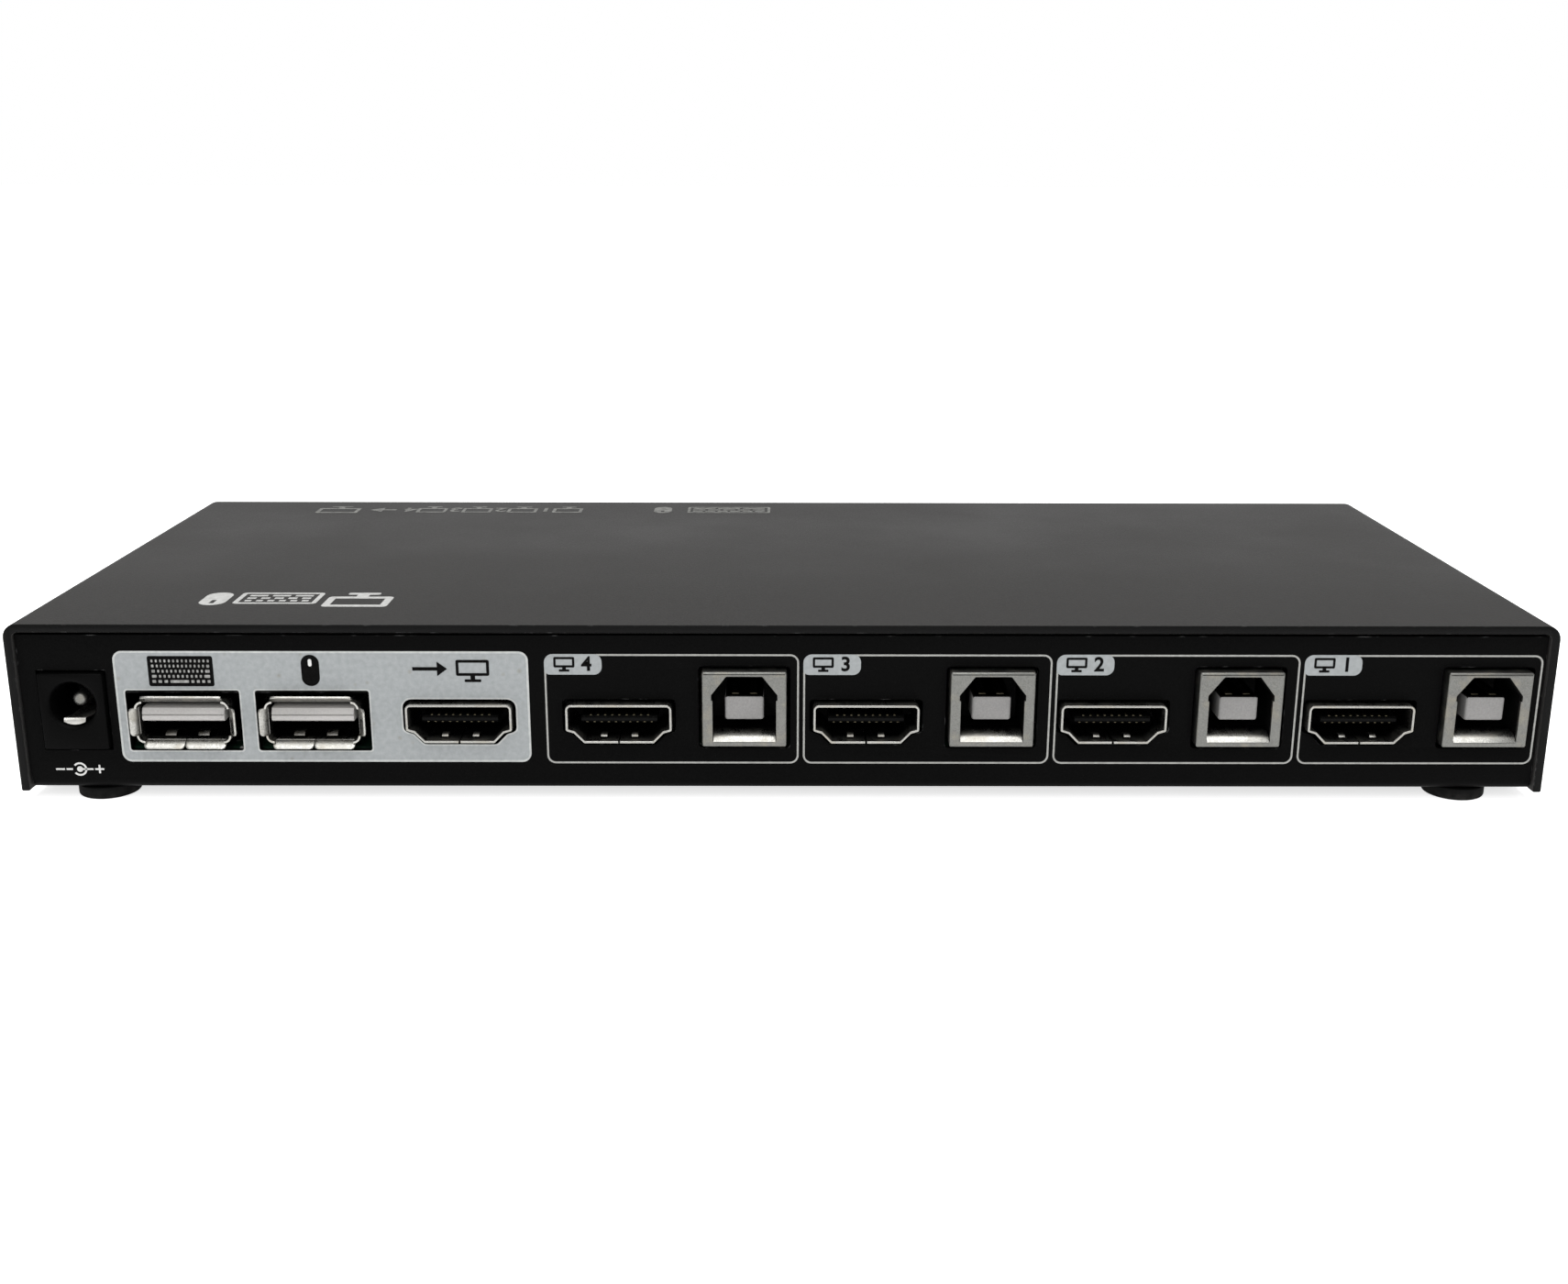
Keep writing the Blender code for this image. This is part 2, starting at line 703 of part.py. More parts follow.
def make_flat_usb_shells():
    """Thin shells whose four front edges are slit at the corners and bent outwards as tabs."""
    half, middle = FLAT_USB_WIDTH / 2, FLAT_USB_BASE + FLAT_USB_HEIGHT / 2
    top = FLAT_USB_BASE + FLAT_USB_HEIGHT
    corners = rectangle(-half, FLAT_USB_BASE, half, top)
    outer = rounded(corners, FLAT_USB_CORNER)
    inner = rounded(inset(corners, FLAT_USB_SHEET), FLAT_USB_CORNER - FLAT_USB_SHEET)
    finish = steel("flat_usb_shell_steel")
    shell = extruded("flat_usb_shell", [outer, inner], "Y", 0, FLAT_USB_DEPTH, finish)
    past, slit = 1 * MM, 0.1 * MM
    wide, tall = FLARE_HALF_WIDTH + slit, SIDE_FLARE_HALF_HEIGHT + slit
    upright = box("upright", (-wide, -past, FLAT_USB_BASE - past), (wide, FLARE_LENGTH, top + past))
    low, high = (-half - past, -past, middle - tall), (half + past, FLARE_LENGTH, middle + tall)
    cut(shell, upright, box("across", low, high))
    wide, tall = FLARE_HALF_WIDTH, SIDE_FLARE_HALF_HEIGHT
    below = [(y, -z) for y, z in reversed(flare_outline(-FLAT_USB_BASE))]
    join(
        shell,
        extruded("flare_top", [flare_outline(top)], "X", -wide, wide),
        extruded("flare_bottom", [below], "X", -wide, wide),
    )
    for side in (-1, 1):
        outline = [(side * across, y) for y, across in flare_outline(half)]
        join(shell, extruded("flare_side", [outline], "Z", middle - tall, middle + tall))
    settle(shell)
    place_all(shell, panel_places("{}_usb_shell", FLAT_USB_XS))


def tongue(half_width, heights, tip, root):
    """A socket's tongue, which runs a little into the plastic behind it."""
    low, high = heights
    return box("tongue", (-half_width, tip, low), (half_width, root + 1 * MM, high))


def above(base, heights):
    return [base + height for height in heights]


def make_flat_usb_inserts():
    room = FLAT_USB_SHEET + GAP
    top, bottom = FLAT_USB_BASE + FLAT_USB_HEIGHT - room, FLAT_USB_BASE + room
    half, end = FLAT_USB_WIDTH / 2 - room, FLAT_USB_DEPTH + INSERT_TAIL
    foot_start = FLAT_USB_DEPTH + GAP
    insert = insert_block("flat_usb_insert", half, bottom, top, FLAT_USB_ROOT, end, foot_start)
    give_finish(insert, pale_plastic("flat_usb_insert_plastic"))
    heights = above(FLAT_USB_BASE, FLAT_TONGUE)
    join(insert, tongue(FLAT_TONGUE_HALF_WIDTH, heights, FLAT_TONGUE_TIP, FLAT_USB_ROOT))
    settle(insert)
    place_all(insert, panel_places("{}_usb_insert", FLAT_USB_XS))


def make_video_shells():
    corners = shifted(VIDEO_CORNERS, 0, VIDEO_BASE)
    outer = rounded(corners, VIDEO_RADII, 3)
    inner_radii = [max(radius - VIDEO_SHEET, 0.12 * MM) for radius in VIDEO_RADII]
    inner = rounded(inset(corners, VIDEO_SHEET), inner_radii, 3)
    finish = steel("video_shell_steel")
    shell = extruded("video_shell", [outer, inner], "Y", 0, VIDEO_DEPTH, finish)
    place_all(shell, panel_places("{}_shell", VIDEO_XS))


def make_video_inserts():
    corners = inset(shifted(VIDEO_CORNERS, 0, VIDEO_BASE), VIDEO_SHEET + GAP)
    end = VIDEO_DEPTH + INSERT_TAIL
    finish = black_plastic("video_insert_plastic")
    insert = extruded("video_insert", [corners], "Y", VIDEO_ROOT, end, finish)
    half, top = VIDEO_FOOT
    foot = box("insert_foot", (-half, VIDEO_DEPTH + GAP, ON_BOARD), (half, end, VIDEO_BASE + top))
    heights = above(VIDEO_BASE, VIDEO_TONGUE)
    join(insert, foot, tongue(VIDEO_TONGUE_HALF_WIDTH, heights, VIDEO_TONGUE_TIP, VIDEO_ROOT))
    settle(insert)
    place_all(insert, panel_places("{}_insert", VIDEO_XS))


def square_usb_outline():
    half = SQUARE_USB_WIDTH / 2
    return rectangle(-half, SQUARE_USB_BASE, half, SQUARE_USB_BASE + SQUARE_USB_HEIGHT)


def house_outline(half_width, bottom, top):
    """A square socket's opening, with its two upper corners cut off."""
    across, down = 1.9 * MM, 2.6 * MM
    return [
        (-half_width, bottom),
        (half_width, bottom),
        (half_width, top - down),
        (half_width - across, top),
        (across - half_width, top),
        (-half_width, top - down),
    ]


def make_square_usb_shells():
    corners = square_usb_outline()
    finish = steel("square_usb_shell_steel")
    outer = rounded(corners, 0.35 * MM, 3)
    shell = extruded("square_usb_shell", [outer], "Y", 0, SQUARE_USB_DEPTH, finish)
    inner = inset(corners, SQUARE_USB_SHEET)
    past = 1 * MM
    hollow = extruded("hollow", [inner], "Y", SQUARE_USB_FACE, SQUARE_USB_DEPTH + past)
    opening = house_outline(SQUARE_MOUTH_HALF_WIDTH, *above(SQUARE_USB_BASE, SQUARE_MOUTH))
    mouth = extruded("mouth", [rounded(opening, 0.2 * MM, 2)], "Y", -past, past)
    cut(shell, hollow, mouth)
    settle(shell)
    place_all(shell, panel_places("{}_usb_shell", SQUARE_USB_XS))


def make_square_usb_inserts():
    room = SQUARE_USB_SHEET + GAP
    half = SQUARE_USB_WIDTH / 2 - room
    bottom, top = SQUARE_USB_BASE + room, SQUARE_USB_BASE + SQUARE_USB_HEIGHT - room
    start, end = SQUARE_USB_FACE + GAP, SQUARE_USB_DEPTH + INSERT_TAIL
    insert = insert_block("square_usb_insert", half, bottom, top, start, end, SQUARE_USB_DEPTH + GAP)
    give_finish(insert, pale_plastic("square_usb_insert_plastic"))
    cavity = house_outline(SQUARE_CAVITY_HALF_WIDTH, *above(SQUARE_USB_BASE, SQUARE_CAVITY))
    cut(insert, extruded("cavity", [cavity], "Y", 0, SQUARE_CAVITY_FLOOR))
    heights = above(SQUARE_USB_BASE, SQUARE_TONGUE)
    join(insert, tongue(SQUARE_TONGUE_HALF_WIDTH, heights, SQUARE_TONGUE_TIP, SQUARE_CAVITY_FLOOR))
    settle(insert)
    place_all(insert, panel_places("{}_usb_insert", SQUARE_USB_XS))


def inlet_outline():
    return rectangle(-INLET_HALF_WIDTH, ON_BOARD, INLET_HALF_WIDTH, ON_BOARD + INLET_HEIGHT)


def make_power_inlet():
    place = (INLET_X, REAR_Y - INLET_PROUD, BASE_Z)
    finish = black_plastic("inlet_plastic")
    flange_depth, narrower = 3.4 * MM, 0.4 * MM
    housing = extruded("power_inlet_housing", [inlet_outline()], "Y", 0, flange_depth, finish, place)
    body_half = INLET_HALF_WIDTH - narrower
    body_low = (-body_half, flange_depth - 1 * MM, ON_BOARD)
    body_high = (body_half, INLET_DEPTH, ON_BOARD + INLET_HEIGHT - narrower)
    join(housing, box("inlet_body", body_low, body_high, place=place))
    radius, depth = INLET_BORE_RADIUS, INLET_BORE_DEPTH
    pin_hole = INLET_PIN_RADIUS + GAP
    past = 0.5 * MM
    bore = [
        (0, past),
        (radius + 0.4 * MM, past),
        (radius + 0.4 * MM, 0),
        (radius, -0.4 * MM),
        (radius, -depth),
        (pin_hole, -depth),
        (pin_hole, -INLET_DEPTH - past),
        (0, -INLET_DEPTH - past),
    ]
    axis = (place[0], place[1], BASE_Z + INLET_BORE_HEIGHT)
    cut(housing, turned("inlet_bore", bore, None, axis, FACING_REAR, steps=28))
    pin = millimetres((0, -2.5), (0.5, -2.58), (0.85, -2.85), (1, -3.3), (1, -13.6), (0, -13.6))
    finish = material("inlet_pin_nickel", (0.6, 0.58, 0.52), 0.25, 1.0)
    turned("power_inlet_pin", pin, finish, axis, FACING_REAR, steps=16)
    make_inlet_spring(axis)


def make_inlet_spring(axis):
    """A leaf along the bottom of the bore, humped where it presses on a plug."""
    lower_side = millimetres((0.9, -2.7), (3.0, -2.7), (5.0, -2.0), (7.0, -2.7), (9.4, -2.7))
    thickness, half_width = 0.25 * MM, 1.0 * MM
    upper_side = [(y, z + thickness) for y, z in reversed(lower_side)]
    finish = material("inlet_spring_nickel", (0.6, 0.58, 0.52), 0.25, 1.0)
    extruded("power_inlet_spring", [lower_side + upper_side], "X", -half_width, half_width, finish, axis)


# Select buttons. A cap and a plunger slide together along Y; their origins are on that axis.


def make_buttons():
    height = BASE_Z + BUTTON_HEIGHT
    inside_y = FRONT_PANEL_Y - TRAY_SHEET - GAP
    front = FRONT_Y + BUTTON_PROUD - inside_y
    radius = BUTTON_RADIUS
    profile = [
        (0, front - 0.35 * MM),
        (radius * 0.5, front - 0.25 * MM),
        (radius - 0.7 * MM, front),
        (radius - 0.3 * MM, front - 0.08 * MM),
        (radius, front - 0.5 * MM),
        (radius, 0),
        (BUTTON_FLANGE_RADIUS, 0),
        (BUTTON_FLANGE_RADIUS, -BUTTON_FLANGE),
        (0, -BUTTON_FLANGE),
    ]
    cap = turned("select_button", profile, black_plastic("select_button_plastic"), steps=32)
    half = PLUNGER_HALF_WIDTH
    hole, floor = half + GAP, 2.6 * MM
    cut(cap, box("plunger_socket", (-hole, -hole, -2 * MM), (hole, hole, floor)))
    settle(cap)
    cap.rotation_euler = FACING_FRONT
    place_all(cap, {f"select_button_{n}": (x, inside_y, height) for n, x in BUTTON_XS.items()})

    body_front = inside_y - 4.0 * MM
    back = body_front - 3.4 * MM
    grey = material("switch_plunger_plastic", (0.5, 0.5, 0.48), 0.5)
    plunger_low = (-half, back - inside_y, -half)
    plunger = box("switch_plunger", plunger_low, (half, floor - GAP, half), grey, bevel=0.2 * MM)
    settle(plunger)
    place_all(plunger, {f"switch_plunger_{n}": (x, inside_y, height) for n, x in BUTTON_XS.items()})

    size = SWITCH_SIZE / 2
    case = black_plastic("push_switch_case")
    body = box("push_switch", (-size, -SWITCH_DEPTH, -size), (size, 0, size), case)
    well_end = back - BUTTON_TRAVEL - GAP - body_front
    cut(body, box("plunger_well", (-hole, well_end, -hole), (hole, 1 * MM, hole)))
    settle(body)
    place_all(body, {f"push_switch_{n}": (x, body_front, height) for n, x in BUTTON_XS.items()})


def make_light_guide():
    """Four clear rods from lamps on the board to the front panel, on one cross bar."""
    height, low = BASE_Z + LAMP_HEIGHT, BASE_Z + BOARD_TOP + 1.2 * MM
    front = FRONT_PANEL_Y + 0.2 * MM
    clear = material("light_guide_acrylic", (0.75, 0.78, 0.75), 0.15)
    left, right = BUTTON_XS[4], BUTTON_XS[1]
    half = 0.8 * MM
    bar_y = LAMP_REAR_Y + 8 * MM
    bar_low, bar_high = (left, bar_y - half, height - half), (right, bar_y + half, height + half)
    bar = box("light_guide", bar_low, bar_high, clear)
    bend = []
    for step in range(7):
        angle = step * pi / 12
        across, down = LAMP_BEND * (1 - sin(angle)), LAMP_BEND * (1 - cos(angle))
        bend.append((LAMP_REAR_Y + across, height - down))
    route = [(front, height), *bend, (LAMP_REAR_Y, low)]
    for n, x in BUTTON_XS.items():
        join(bar, rod(f"light_rod_{n}", [(x, y, z) for y, z in route], LAMP_RADIUS))
    settle(bar)


def rod(name, points, radius):
    """A round bar along a path, as a closed mesh."""
    curve = bpy.data.curves.new(name, "CURVE")
    curve.dimensions = "3D"
    curve.bevel_depth = radius
    curve.bevel_resolution = 3
    curve.use_fill_caps = True
    spline = curve.splines.new("POLY")
    spline.points.add(len(points) - 1)
    for point, place in zip(spline.points, points):
        point.co = (*place, 1)
    drawing = bpy.data.objects.new(name, curve)
    bpy.context.scene.collection.objects.link(drawing)
    mesh = evaluated_mesh(drawing)
    bpy.data.objects.remove(drawing)
    return add(name, welded(mesh), None)


clear_scene()
PARTS = collection("kvm_switch")
CUTTERS = collection("cutters")
SCREW_HOLES = [
    countersink(f"cover_screw_hole_{side}_{y}", side, y) for side in (-1, 1) for y in (-TAB_Y, TAB_Y)
]
make_cover(SCREW_HOLES)
make_tray(SCREW_HOLES)
make_feet()
make_cover_screws()
make_board()
make_board_screws()
make_components()
make_flat_usb_shells()
make_flat_usb_inserts()
make_video_shells()
make_video_inserts()
make_square_usb_shells()
make_square_usb_inserts()
make_power_inlet()
make_buttons()
make_light_guide()
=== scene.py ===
"""The looks of the KVM switch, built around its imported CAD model.

Metres, +Z up, in the frame of the CAD: the sockets face -Y, the push buttons face +Y, and the feet
stand on Z = 0. New pieces take their places from the CAD nodes' boxes. The prints have places of their
own on the panels and the cover.
"""

from math import cos, pi, radians, sin, sqrt, tan

import bmesh
import bpy
from mathutils import Matrix, Vector


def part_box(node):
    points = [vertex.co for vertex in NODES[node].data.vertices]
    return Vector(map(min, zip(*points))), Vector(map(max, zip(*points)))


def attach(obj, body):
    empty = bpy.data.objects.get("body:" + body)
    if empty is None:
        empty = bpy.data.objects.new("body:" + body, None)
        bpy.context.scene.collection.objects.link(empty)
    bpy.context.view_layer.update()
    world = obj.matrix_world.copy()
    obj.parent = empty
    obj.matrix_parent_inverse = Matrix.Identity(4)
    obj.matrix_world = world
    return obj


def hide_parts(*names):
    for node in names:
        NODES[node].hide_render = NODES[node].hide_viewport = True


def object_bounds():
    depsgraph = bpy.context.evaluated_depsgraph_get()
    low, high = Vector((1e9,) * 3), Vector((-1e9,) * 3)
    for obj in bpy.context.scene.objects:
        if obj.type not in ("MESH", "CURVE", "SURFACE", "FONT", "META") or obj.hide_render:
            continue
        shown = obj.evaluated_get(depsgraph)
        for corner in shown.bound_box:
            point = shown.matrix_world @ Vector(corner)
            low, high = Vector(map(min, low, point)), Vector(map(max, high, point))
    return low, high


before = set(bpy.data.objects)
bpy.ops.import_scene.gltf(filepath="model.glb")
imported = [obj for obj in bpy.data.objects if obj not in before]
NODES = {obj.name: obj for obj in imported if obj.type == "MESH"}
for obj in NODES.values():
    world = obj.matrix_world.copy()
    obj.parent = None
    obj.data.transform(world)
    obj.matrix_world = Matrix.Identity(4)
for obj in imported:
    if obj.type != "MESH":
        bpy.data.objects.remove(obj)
CAD_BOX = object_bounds()

MM = 0.001

COVER_LOW, COVER_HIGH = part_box("top_cover")
TRAY_LOW, TRAY_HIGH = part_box("base_tray")
CASE_BASE = TRAY_LOW.z  # heights on the panels are measured from here
REAR_PANEL, FRONT_PANEL = TRAY_LOW.y, TRAY_HIGH.y
SOCKET_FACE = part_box("pc1_usb_shell")[0].y
PRINT_BASE = CASE_BASE + 0.5 * MM  # heights of the prints on the panels are measured from here

COMPUTERS = (1, 2, 3, 4)
FLAT_USB = ("keyboard", "mouse")
VIDEO = ("video_out", "pc1_video", "pc2_video", "pc3_video", "pc4_video")

INK = 0.03 * MM  # thickness of printed ink
SUNK = 0.01 * MM  # how far a print's back lies inside the surface it is on


# Outlines: lists of (across, up) points, counter-clockwise


def rectangle(left, bottom, right, top):
    return [(left, bottom), (right, bottom), (right, top), (left, top)]


def shifted(outline, across, up):
    return [(point[0] + across, point[1] + up) for point in outline]


def mirrored(outline):
    return [(-point[0], point[1]) for point in reversed(outline)]


def arc(centre, radius, start, end, steps=8):
    """Points from one angle to another, in degrees, both included."""
    angles = [radians(start + (end - start) * step / steps) for step in range(steps + 1)]
    return [(centre[0] + radius * cos(angle), centre[1] + radius * sin(angle)) for angle in angles]


def circle(centre, radius, steps):
    return arc(centre, radius, 0, 360 - 360 / steps, steps - 1)


def inset(corners, distance):
    """The outline with each side moved inwards, or outwards where distance is below zero."""
    moved = []
    for index, corner in enumerate(corners):
        here = Vector(corner)
        arriving = (here - Vector(corners[index - 1])).normalized()
        leaving = (Vector(corners[(index + 1) % len(corners)]) - here).normalized()
        normal = Vector((-arriving.y, arriving.x))
        inwards = (normal + Vector((-leaving.y, leaving.x))).normalized()
        moved.append(tuple(here + inwards * distance / inwards.dot(normal)))
    return moved


def rounded(corners, radius, steps=6):
    """The outline with its corners as arcs. radius is one number or a list with one for each corner."""
    radii = radius if isinstance(radius, list) else [radius] * len(corners)
    outline = []
    for index, corner in enumerate(corners):
        corner = Vector(corner)
        if radii[index] <= 0:
            outline.append(tuple(corner))
            continue
        back = (Vector(corners[index - 1]) - corner).normalized()
        onward = (Vector(corners[(index + 1) % len(corners)]) - corner).normalized()
        half_angle = back.angle(onward) / 2
        reach = radii[index] / tan(half_angle)
        centre = corner + (back + onward).normalized() * radii[index] / sin(half_angle)
        first = (corner + back * reach - centre).normalized()
        last = (corner + onward * reach - centre).normalized()
        spokes = [first.slerp(last, step / steps) for step in range(steps + 1)]
        outline += [tuple(centre + spoke * radii[index]) for spoke in spokes]
    return outline


def thickened(path, thickness):
    """A closed outline along an open path, with the path as its right-hand side."""
    other_side = []
    for index, point in enumerate(path):
        before, after = Vector(path[max(index - 1, 0)]), Vector(path[min(index + 1, len(path) - 1)])
        along = (after - before).normalized()
        other_side.append(tuple(Vector(point) + Vector((-along.y, along.x)) * thickness))
    return list(path) + other_side[::-1]


# Solids

WELD = 0.001 * MM  # points nearer to each other than this are one
SHARP_EDGE = radians(28)

FACING = {
    "left": Matrix(((0, 0, 1, 0), (1, 0, 0, 0), (0, 1, 0, 0), (0, 0, 0, 1))),
    "rear": Matrix(((1, 0, 0, 0), (0, 0, -1, 0), (0, 1, 0, 0), (0, 0, 0, 1))),
    "front": Matrix(((-1, 0, 0, 0), (0, 0, 1, 0), (0, 1, 0, 0), (0, 0, 0, 1))),
    "up": Matrix.Identity(4),
}
AXIS_OF = {"left": 0, "rear": 1, "front": 1, "up": 2}


def linked(name, mesh):
    piece = bpy.data.objects.new(name, mesh)
    bpy.context.scene.collection.objects.link(piece)
    return piece


def evaluated_mesh(piece):
    """The mesh that a piece's curve, text or modifiers make."""
    bpy.context.view_layer.update()
    graph = bpy.context.evaluated_depsgraph_get()
    return bpy.data.meshes.new_from_object(piece.evaluated_get(graph))


def applied(piece):
    """Turns the piece's modifiers into mesh."""
    mesh = evaluated_mesh(piece)
    piece.modifiers.clear()
    piece.data = mesh
    return piece


def mesh_of(drawing):
    """The mesh that a curve or text object makes, with its loose caps welded. The object is removed."""
    mesh = evaluated_mesh(drawing)
    bpy.data.objects.remove(drawing)
    bm = bmesh.new()
    bm.from_mesh(mesh)
    bmesh.ops.remove_doubles(bm, verts=bm.verts, dist=WELD)
    bmesh.ops.dissolve_degenerate(bm, edges=bm.edges, dist=WELD / 2)
    bmesh.ops.recalc_face_normals(bm, faces=bm.faces)
    bm.to_mesh(mesh)
    bm.free()
    return mesh


def drawn(name, loops, facing, start, end, edge=0.0):
    """Flat outlines drawn out from start to end along an axis, with edges rounded by edge.

    A loop inside another is a hole. facing is the way the drawing is looked at: rear outlines are
    (x, z) and run along Y, left ones (y, z) along X, and up ones (x, y) along Z."""
    curve = bpy.data.curves.new(name, "CURVE")
    curve.dimensions = "2D"
    curve.fill_mode = "BOTH"
    curve.extrude = (end - start) / 2 - edge
    curve.bevel_depth = edge
    curve.bevel_resolution = 2
    curve.offset = -edge
    for loop in loops:
        spline = curve.splines.new("POLY")
        spline.points.add(len(loop) - 1)
        spline.use_cyclic_u = True
        for point, (across, up) in zip(spline.points, loop):
            point.co = (across, up, 0, 1)
    mesh = mesh_of(linked(name, curve))
    middle = Vector((0, 0, 0))
    middle[AXIS_OF[facing]] = (start + end) / 2
    mesh.transform(Matrix.Translation(middle) @ FACING[facing])
    return shaded(linked(name, mesh))


def shaded(piece, angle=30):
    piece.data.shade_smooth()
    piece.data.set_sharp_from_angle(angle=radians(angle))
    return piece


def block(name, low, high, edge, segments=2):
    """A box with all its edges rounded."""
    low, high = Vector(low), Vector(high)
    bm = bmesh.new()
    bmesh.ops.create_cube(bm, size=1.0)
    stretch = Matrix.Translation((low + high) / 2) @ Matrix.Diagonal((*(high - low), 1))
    bmesh.ops.transform(bm, matrix=stretch, verts=bm.verts)
    bmesh.ops.bevel(bm, geom=bm.edges, offset=edge, segments=segments, profile=0.5, affect="EDGES")
    return solid(name, bm)


def from_bmesh(name, bm):
    mesh = bpy.data.meshes.new(name)
    bm.to_mesh(mesh)
    bm.free()
    return linked(name, mesh)


def solid(name, bm, angle=30):
    bmesh.ops.recalc_face_normals(bm, faces=bm.faces)
    return shaded(from_bmesh(name, bm), angle)


def turned(name, profile, place, axis="Z", steps=48):
    """A solid of revolution. The profile is (radius, distance along the axis) and begins and ends at 0."""
    bm = bmesh.new()
    points = [bm.verts.new((radius, 0, along)) for radius, along in profile]
    edges = [bm.edges.new(pair) for pair in zip(points, points[1:])]
    bmesh.ops.spin(bm, geom=points + edges, axis=(0, 0, 1), cent=(0, 0, 0), angle=2 * pi, steps=steps)
    bmesh.ops.remove_doubles(bm, verts=bm.verts, dist=WELD)
    turn = Matrix.Rotation(-pi / 2 if axis == "Y" else 0, 4, "X")
    bmesh.ops.transform(bm, matrix=Matrix.Translation(place) @ turn, verts=bm.verts)
    return solid(name, bm)


def softened(node, width, name=None):
    """A copy of a CAD node with its flat faces made whole again and its sharp edges rounded."""
    bm = bmesh.new()
    bm.from_mesh(NODES[node].data)
    bmesh.ops.remove_doubles(bm, verts=bm.verts, dist=WELD)
    bmesh.ops.dissolve_limit(bm, angle_limit=radians(1), verts=bm.verts, edges=bm.edges, delimit={"NORMAL"})
    sharp = [edge for edge in bm.edges if edge.calc_face_angle(0) > SHARP_EDGE]
    bmesh.ops.bevel(bm, geom=sharp, offset=width, segments=2, profile=0.5, affect="EDGES", clamp_overlap=True)
    return solid(name or node + "_finished", bm, angle=35)


def united(name, pieces):
    """One piece out of several that share a material."""
    bm = bmesh.new()
    for piece in pieces:
        bm.from_mesh(piece.data)
        bpy.data.objects.remove(piece)
    return shaded(from_bmesh(name, bm))


def cut(piece, *cutters):
    """Cuts shapes out of a piece for good, and removes them."""
    for cutter in cutters:
        boolean = piece.modifiers.new(cutter.name, "BOOLEAN")
        boolean.operation = "DIFFERENCE"
        boolean.object = cutter
    applied(piece)
    for cutter in cutters:
        bpy.data.objects.remove(cutter)
    return shaded(piece)


def fit(piece, finish, body="case", replaces=()):
    """Gives a piece its material and its body, and hides the CAD nodes that it stands for."""
    piece.data.materials.clear()
    piece.data.materials.append(finish)
    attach(piece, body)
    if replaces:
        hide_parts(*replaces)
    return piece


def placed(node):
    """A CAD node's lowest and highest corners, and the middle of its width."""
    low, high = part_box(node)
    return low, high, (low.x + high.x) / 2


# Materials. Patterns are in the object's own metres, so they stay the same size on every piece.


class Finish:
    """A material in the making: its shader, and short ways to hang patterns on it."""

    def __init__(self, name, roughness=0.5, metallic=0.0, specular=0.5):
        self.material = bpy.data.materials.new(name)
        self.material.use_nodes = True
        self.tree = self.material.node_tree
        self.shader = self.tree.nodes["Principled BSDF"]
        self.shader.inputs["Roughness"].default_value = roughness
        self.shader.inputs["Metallic"].default_value = metallic
        self.shader.inputs["Specular IOR Level"].default_value = specular
        self.place = self.node("TexCoord").outputs["Object"]

    def node(self, kind, values=None, **settings):
        made = self.tree.nodes.new("ShaderNode" + kind)
        for key, value in settings.items():
            setattr(made, key, value)
        for socket, value in (values or {}).items():
            if isinstance(value, bpy.types.NodeSocket):
                self.tree.links.new(value, made.inputs[socket])
            else:
                made.inputs[socket].default_value = value
        return made

    def set(self, socket, value):
        self.tree.links.new(value, self.shader.inputs[socket])

    def stretched(self, along):
        """The object's place, squeezed so that patterns on it run long in the squeezed direction."""
        return self.node("VectorMath", {0: self.place, 1: along}, operation="MULTIPLY").outputs[0]

    def noise(self, size, detail, place=None):
        """Cloudy noise from 0 to 1 whose features are about this many metres across."""
        values = {"Vector": place or self.place, "Scale": 1 / size, "Detail": detail}
        return self.node("TexNoise", values).outputs["Fac"]

    def flecks(self, size):
        """Distance to the nearest of many scattered points, in shares of size."""
        values = {"Vector": self.place, "Scale": 1 / size}
        return self.node("TexVoronoi", values).outputs["Distance"]

    def spread(self, value, low, high, to_low=0.0, to_high=1.0):
        """The value's stretch from low to high, spread over another stretch and held at its ends."""
        values = {"Value": value, "From Min": low, "From Max": high, "To Min": to_low, "To Max": to_high}
        return self.node("MapRange", values).outputs["Result"]

    def times(self, one, other):
        return self.node("Math", {0: one, 1: other}, operation="MULTIPLY").outputs[0]

    def plus(self, one, other):
        return self.node("Math", {0: one, 1: other}, operation="ADD").outputs[0]

    def mix(self, share, one, other):
        """A colour between two. Each is a colour or a socket."""
        mixer = self.node("Mix", {"Factor": share}, data_type="RGBA")
        for socket, colour in ((mixer.inputs[6], one), (mixer.inputs[7], other)):
            if isinstance(colour, bpy.types.NodeSocket):
                self.tree.links.new(colour, socket)
            else:
                socket.default_value = (*colour, 1)
        return mixer.outputs[2]

    def height(self, axis):
        """The place along one axis, in metres."""
        return self.node("SeparateXYZ", {0: self.place}).outputs[axis]

    def facing(self, direction):
        """1 where the surface faces a direction and 0 where it faces across it or away."""
        normal = self.node("NewGeometry").outputs["Normal"]
        match = self.node("VectorMath", {0: normal, 1: direction}, operation="DOT_PRODUCT")
        return self.spread(match.outputs["Value"], 0.35, 0.8)

    def edges(self, radius):
        """1 along convex and concave edges and 0 on flat faces."""
        rounded_normal = self.node("Bevel", {"Radius": radius}, samples=4).outputs[0]
        normal = self.node("NewGeometry").outputs["Normal"]
        match = self.node("VectorMath", {0: rounded_normal, 1: normal}, operation="DOT_PRODUCT")
        return self.spread(match.outputs["Value"], 0.98, 0.88)

    def bump(self, height, depth, strength=1.0):
        values = {"Height": height, "Distance": depth, "Strength": strength}
        return self.node("Bump", values).outputs["Normal"]


    def finished(self, colour, roughness, normal):
        """The material, with the patterns of its colour, roughness and surface in place."""
        self.set("Base Color", colour)
        self.set("Roughness", roughness)
        self.set("Normal", normal)
        return self.material


def grey(value, warm=0.0):
    return (value * (1 + warm), value, value * (1 - warm))


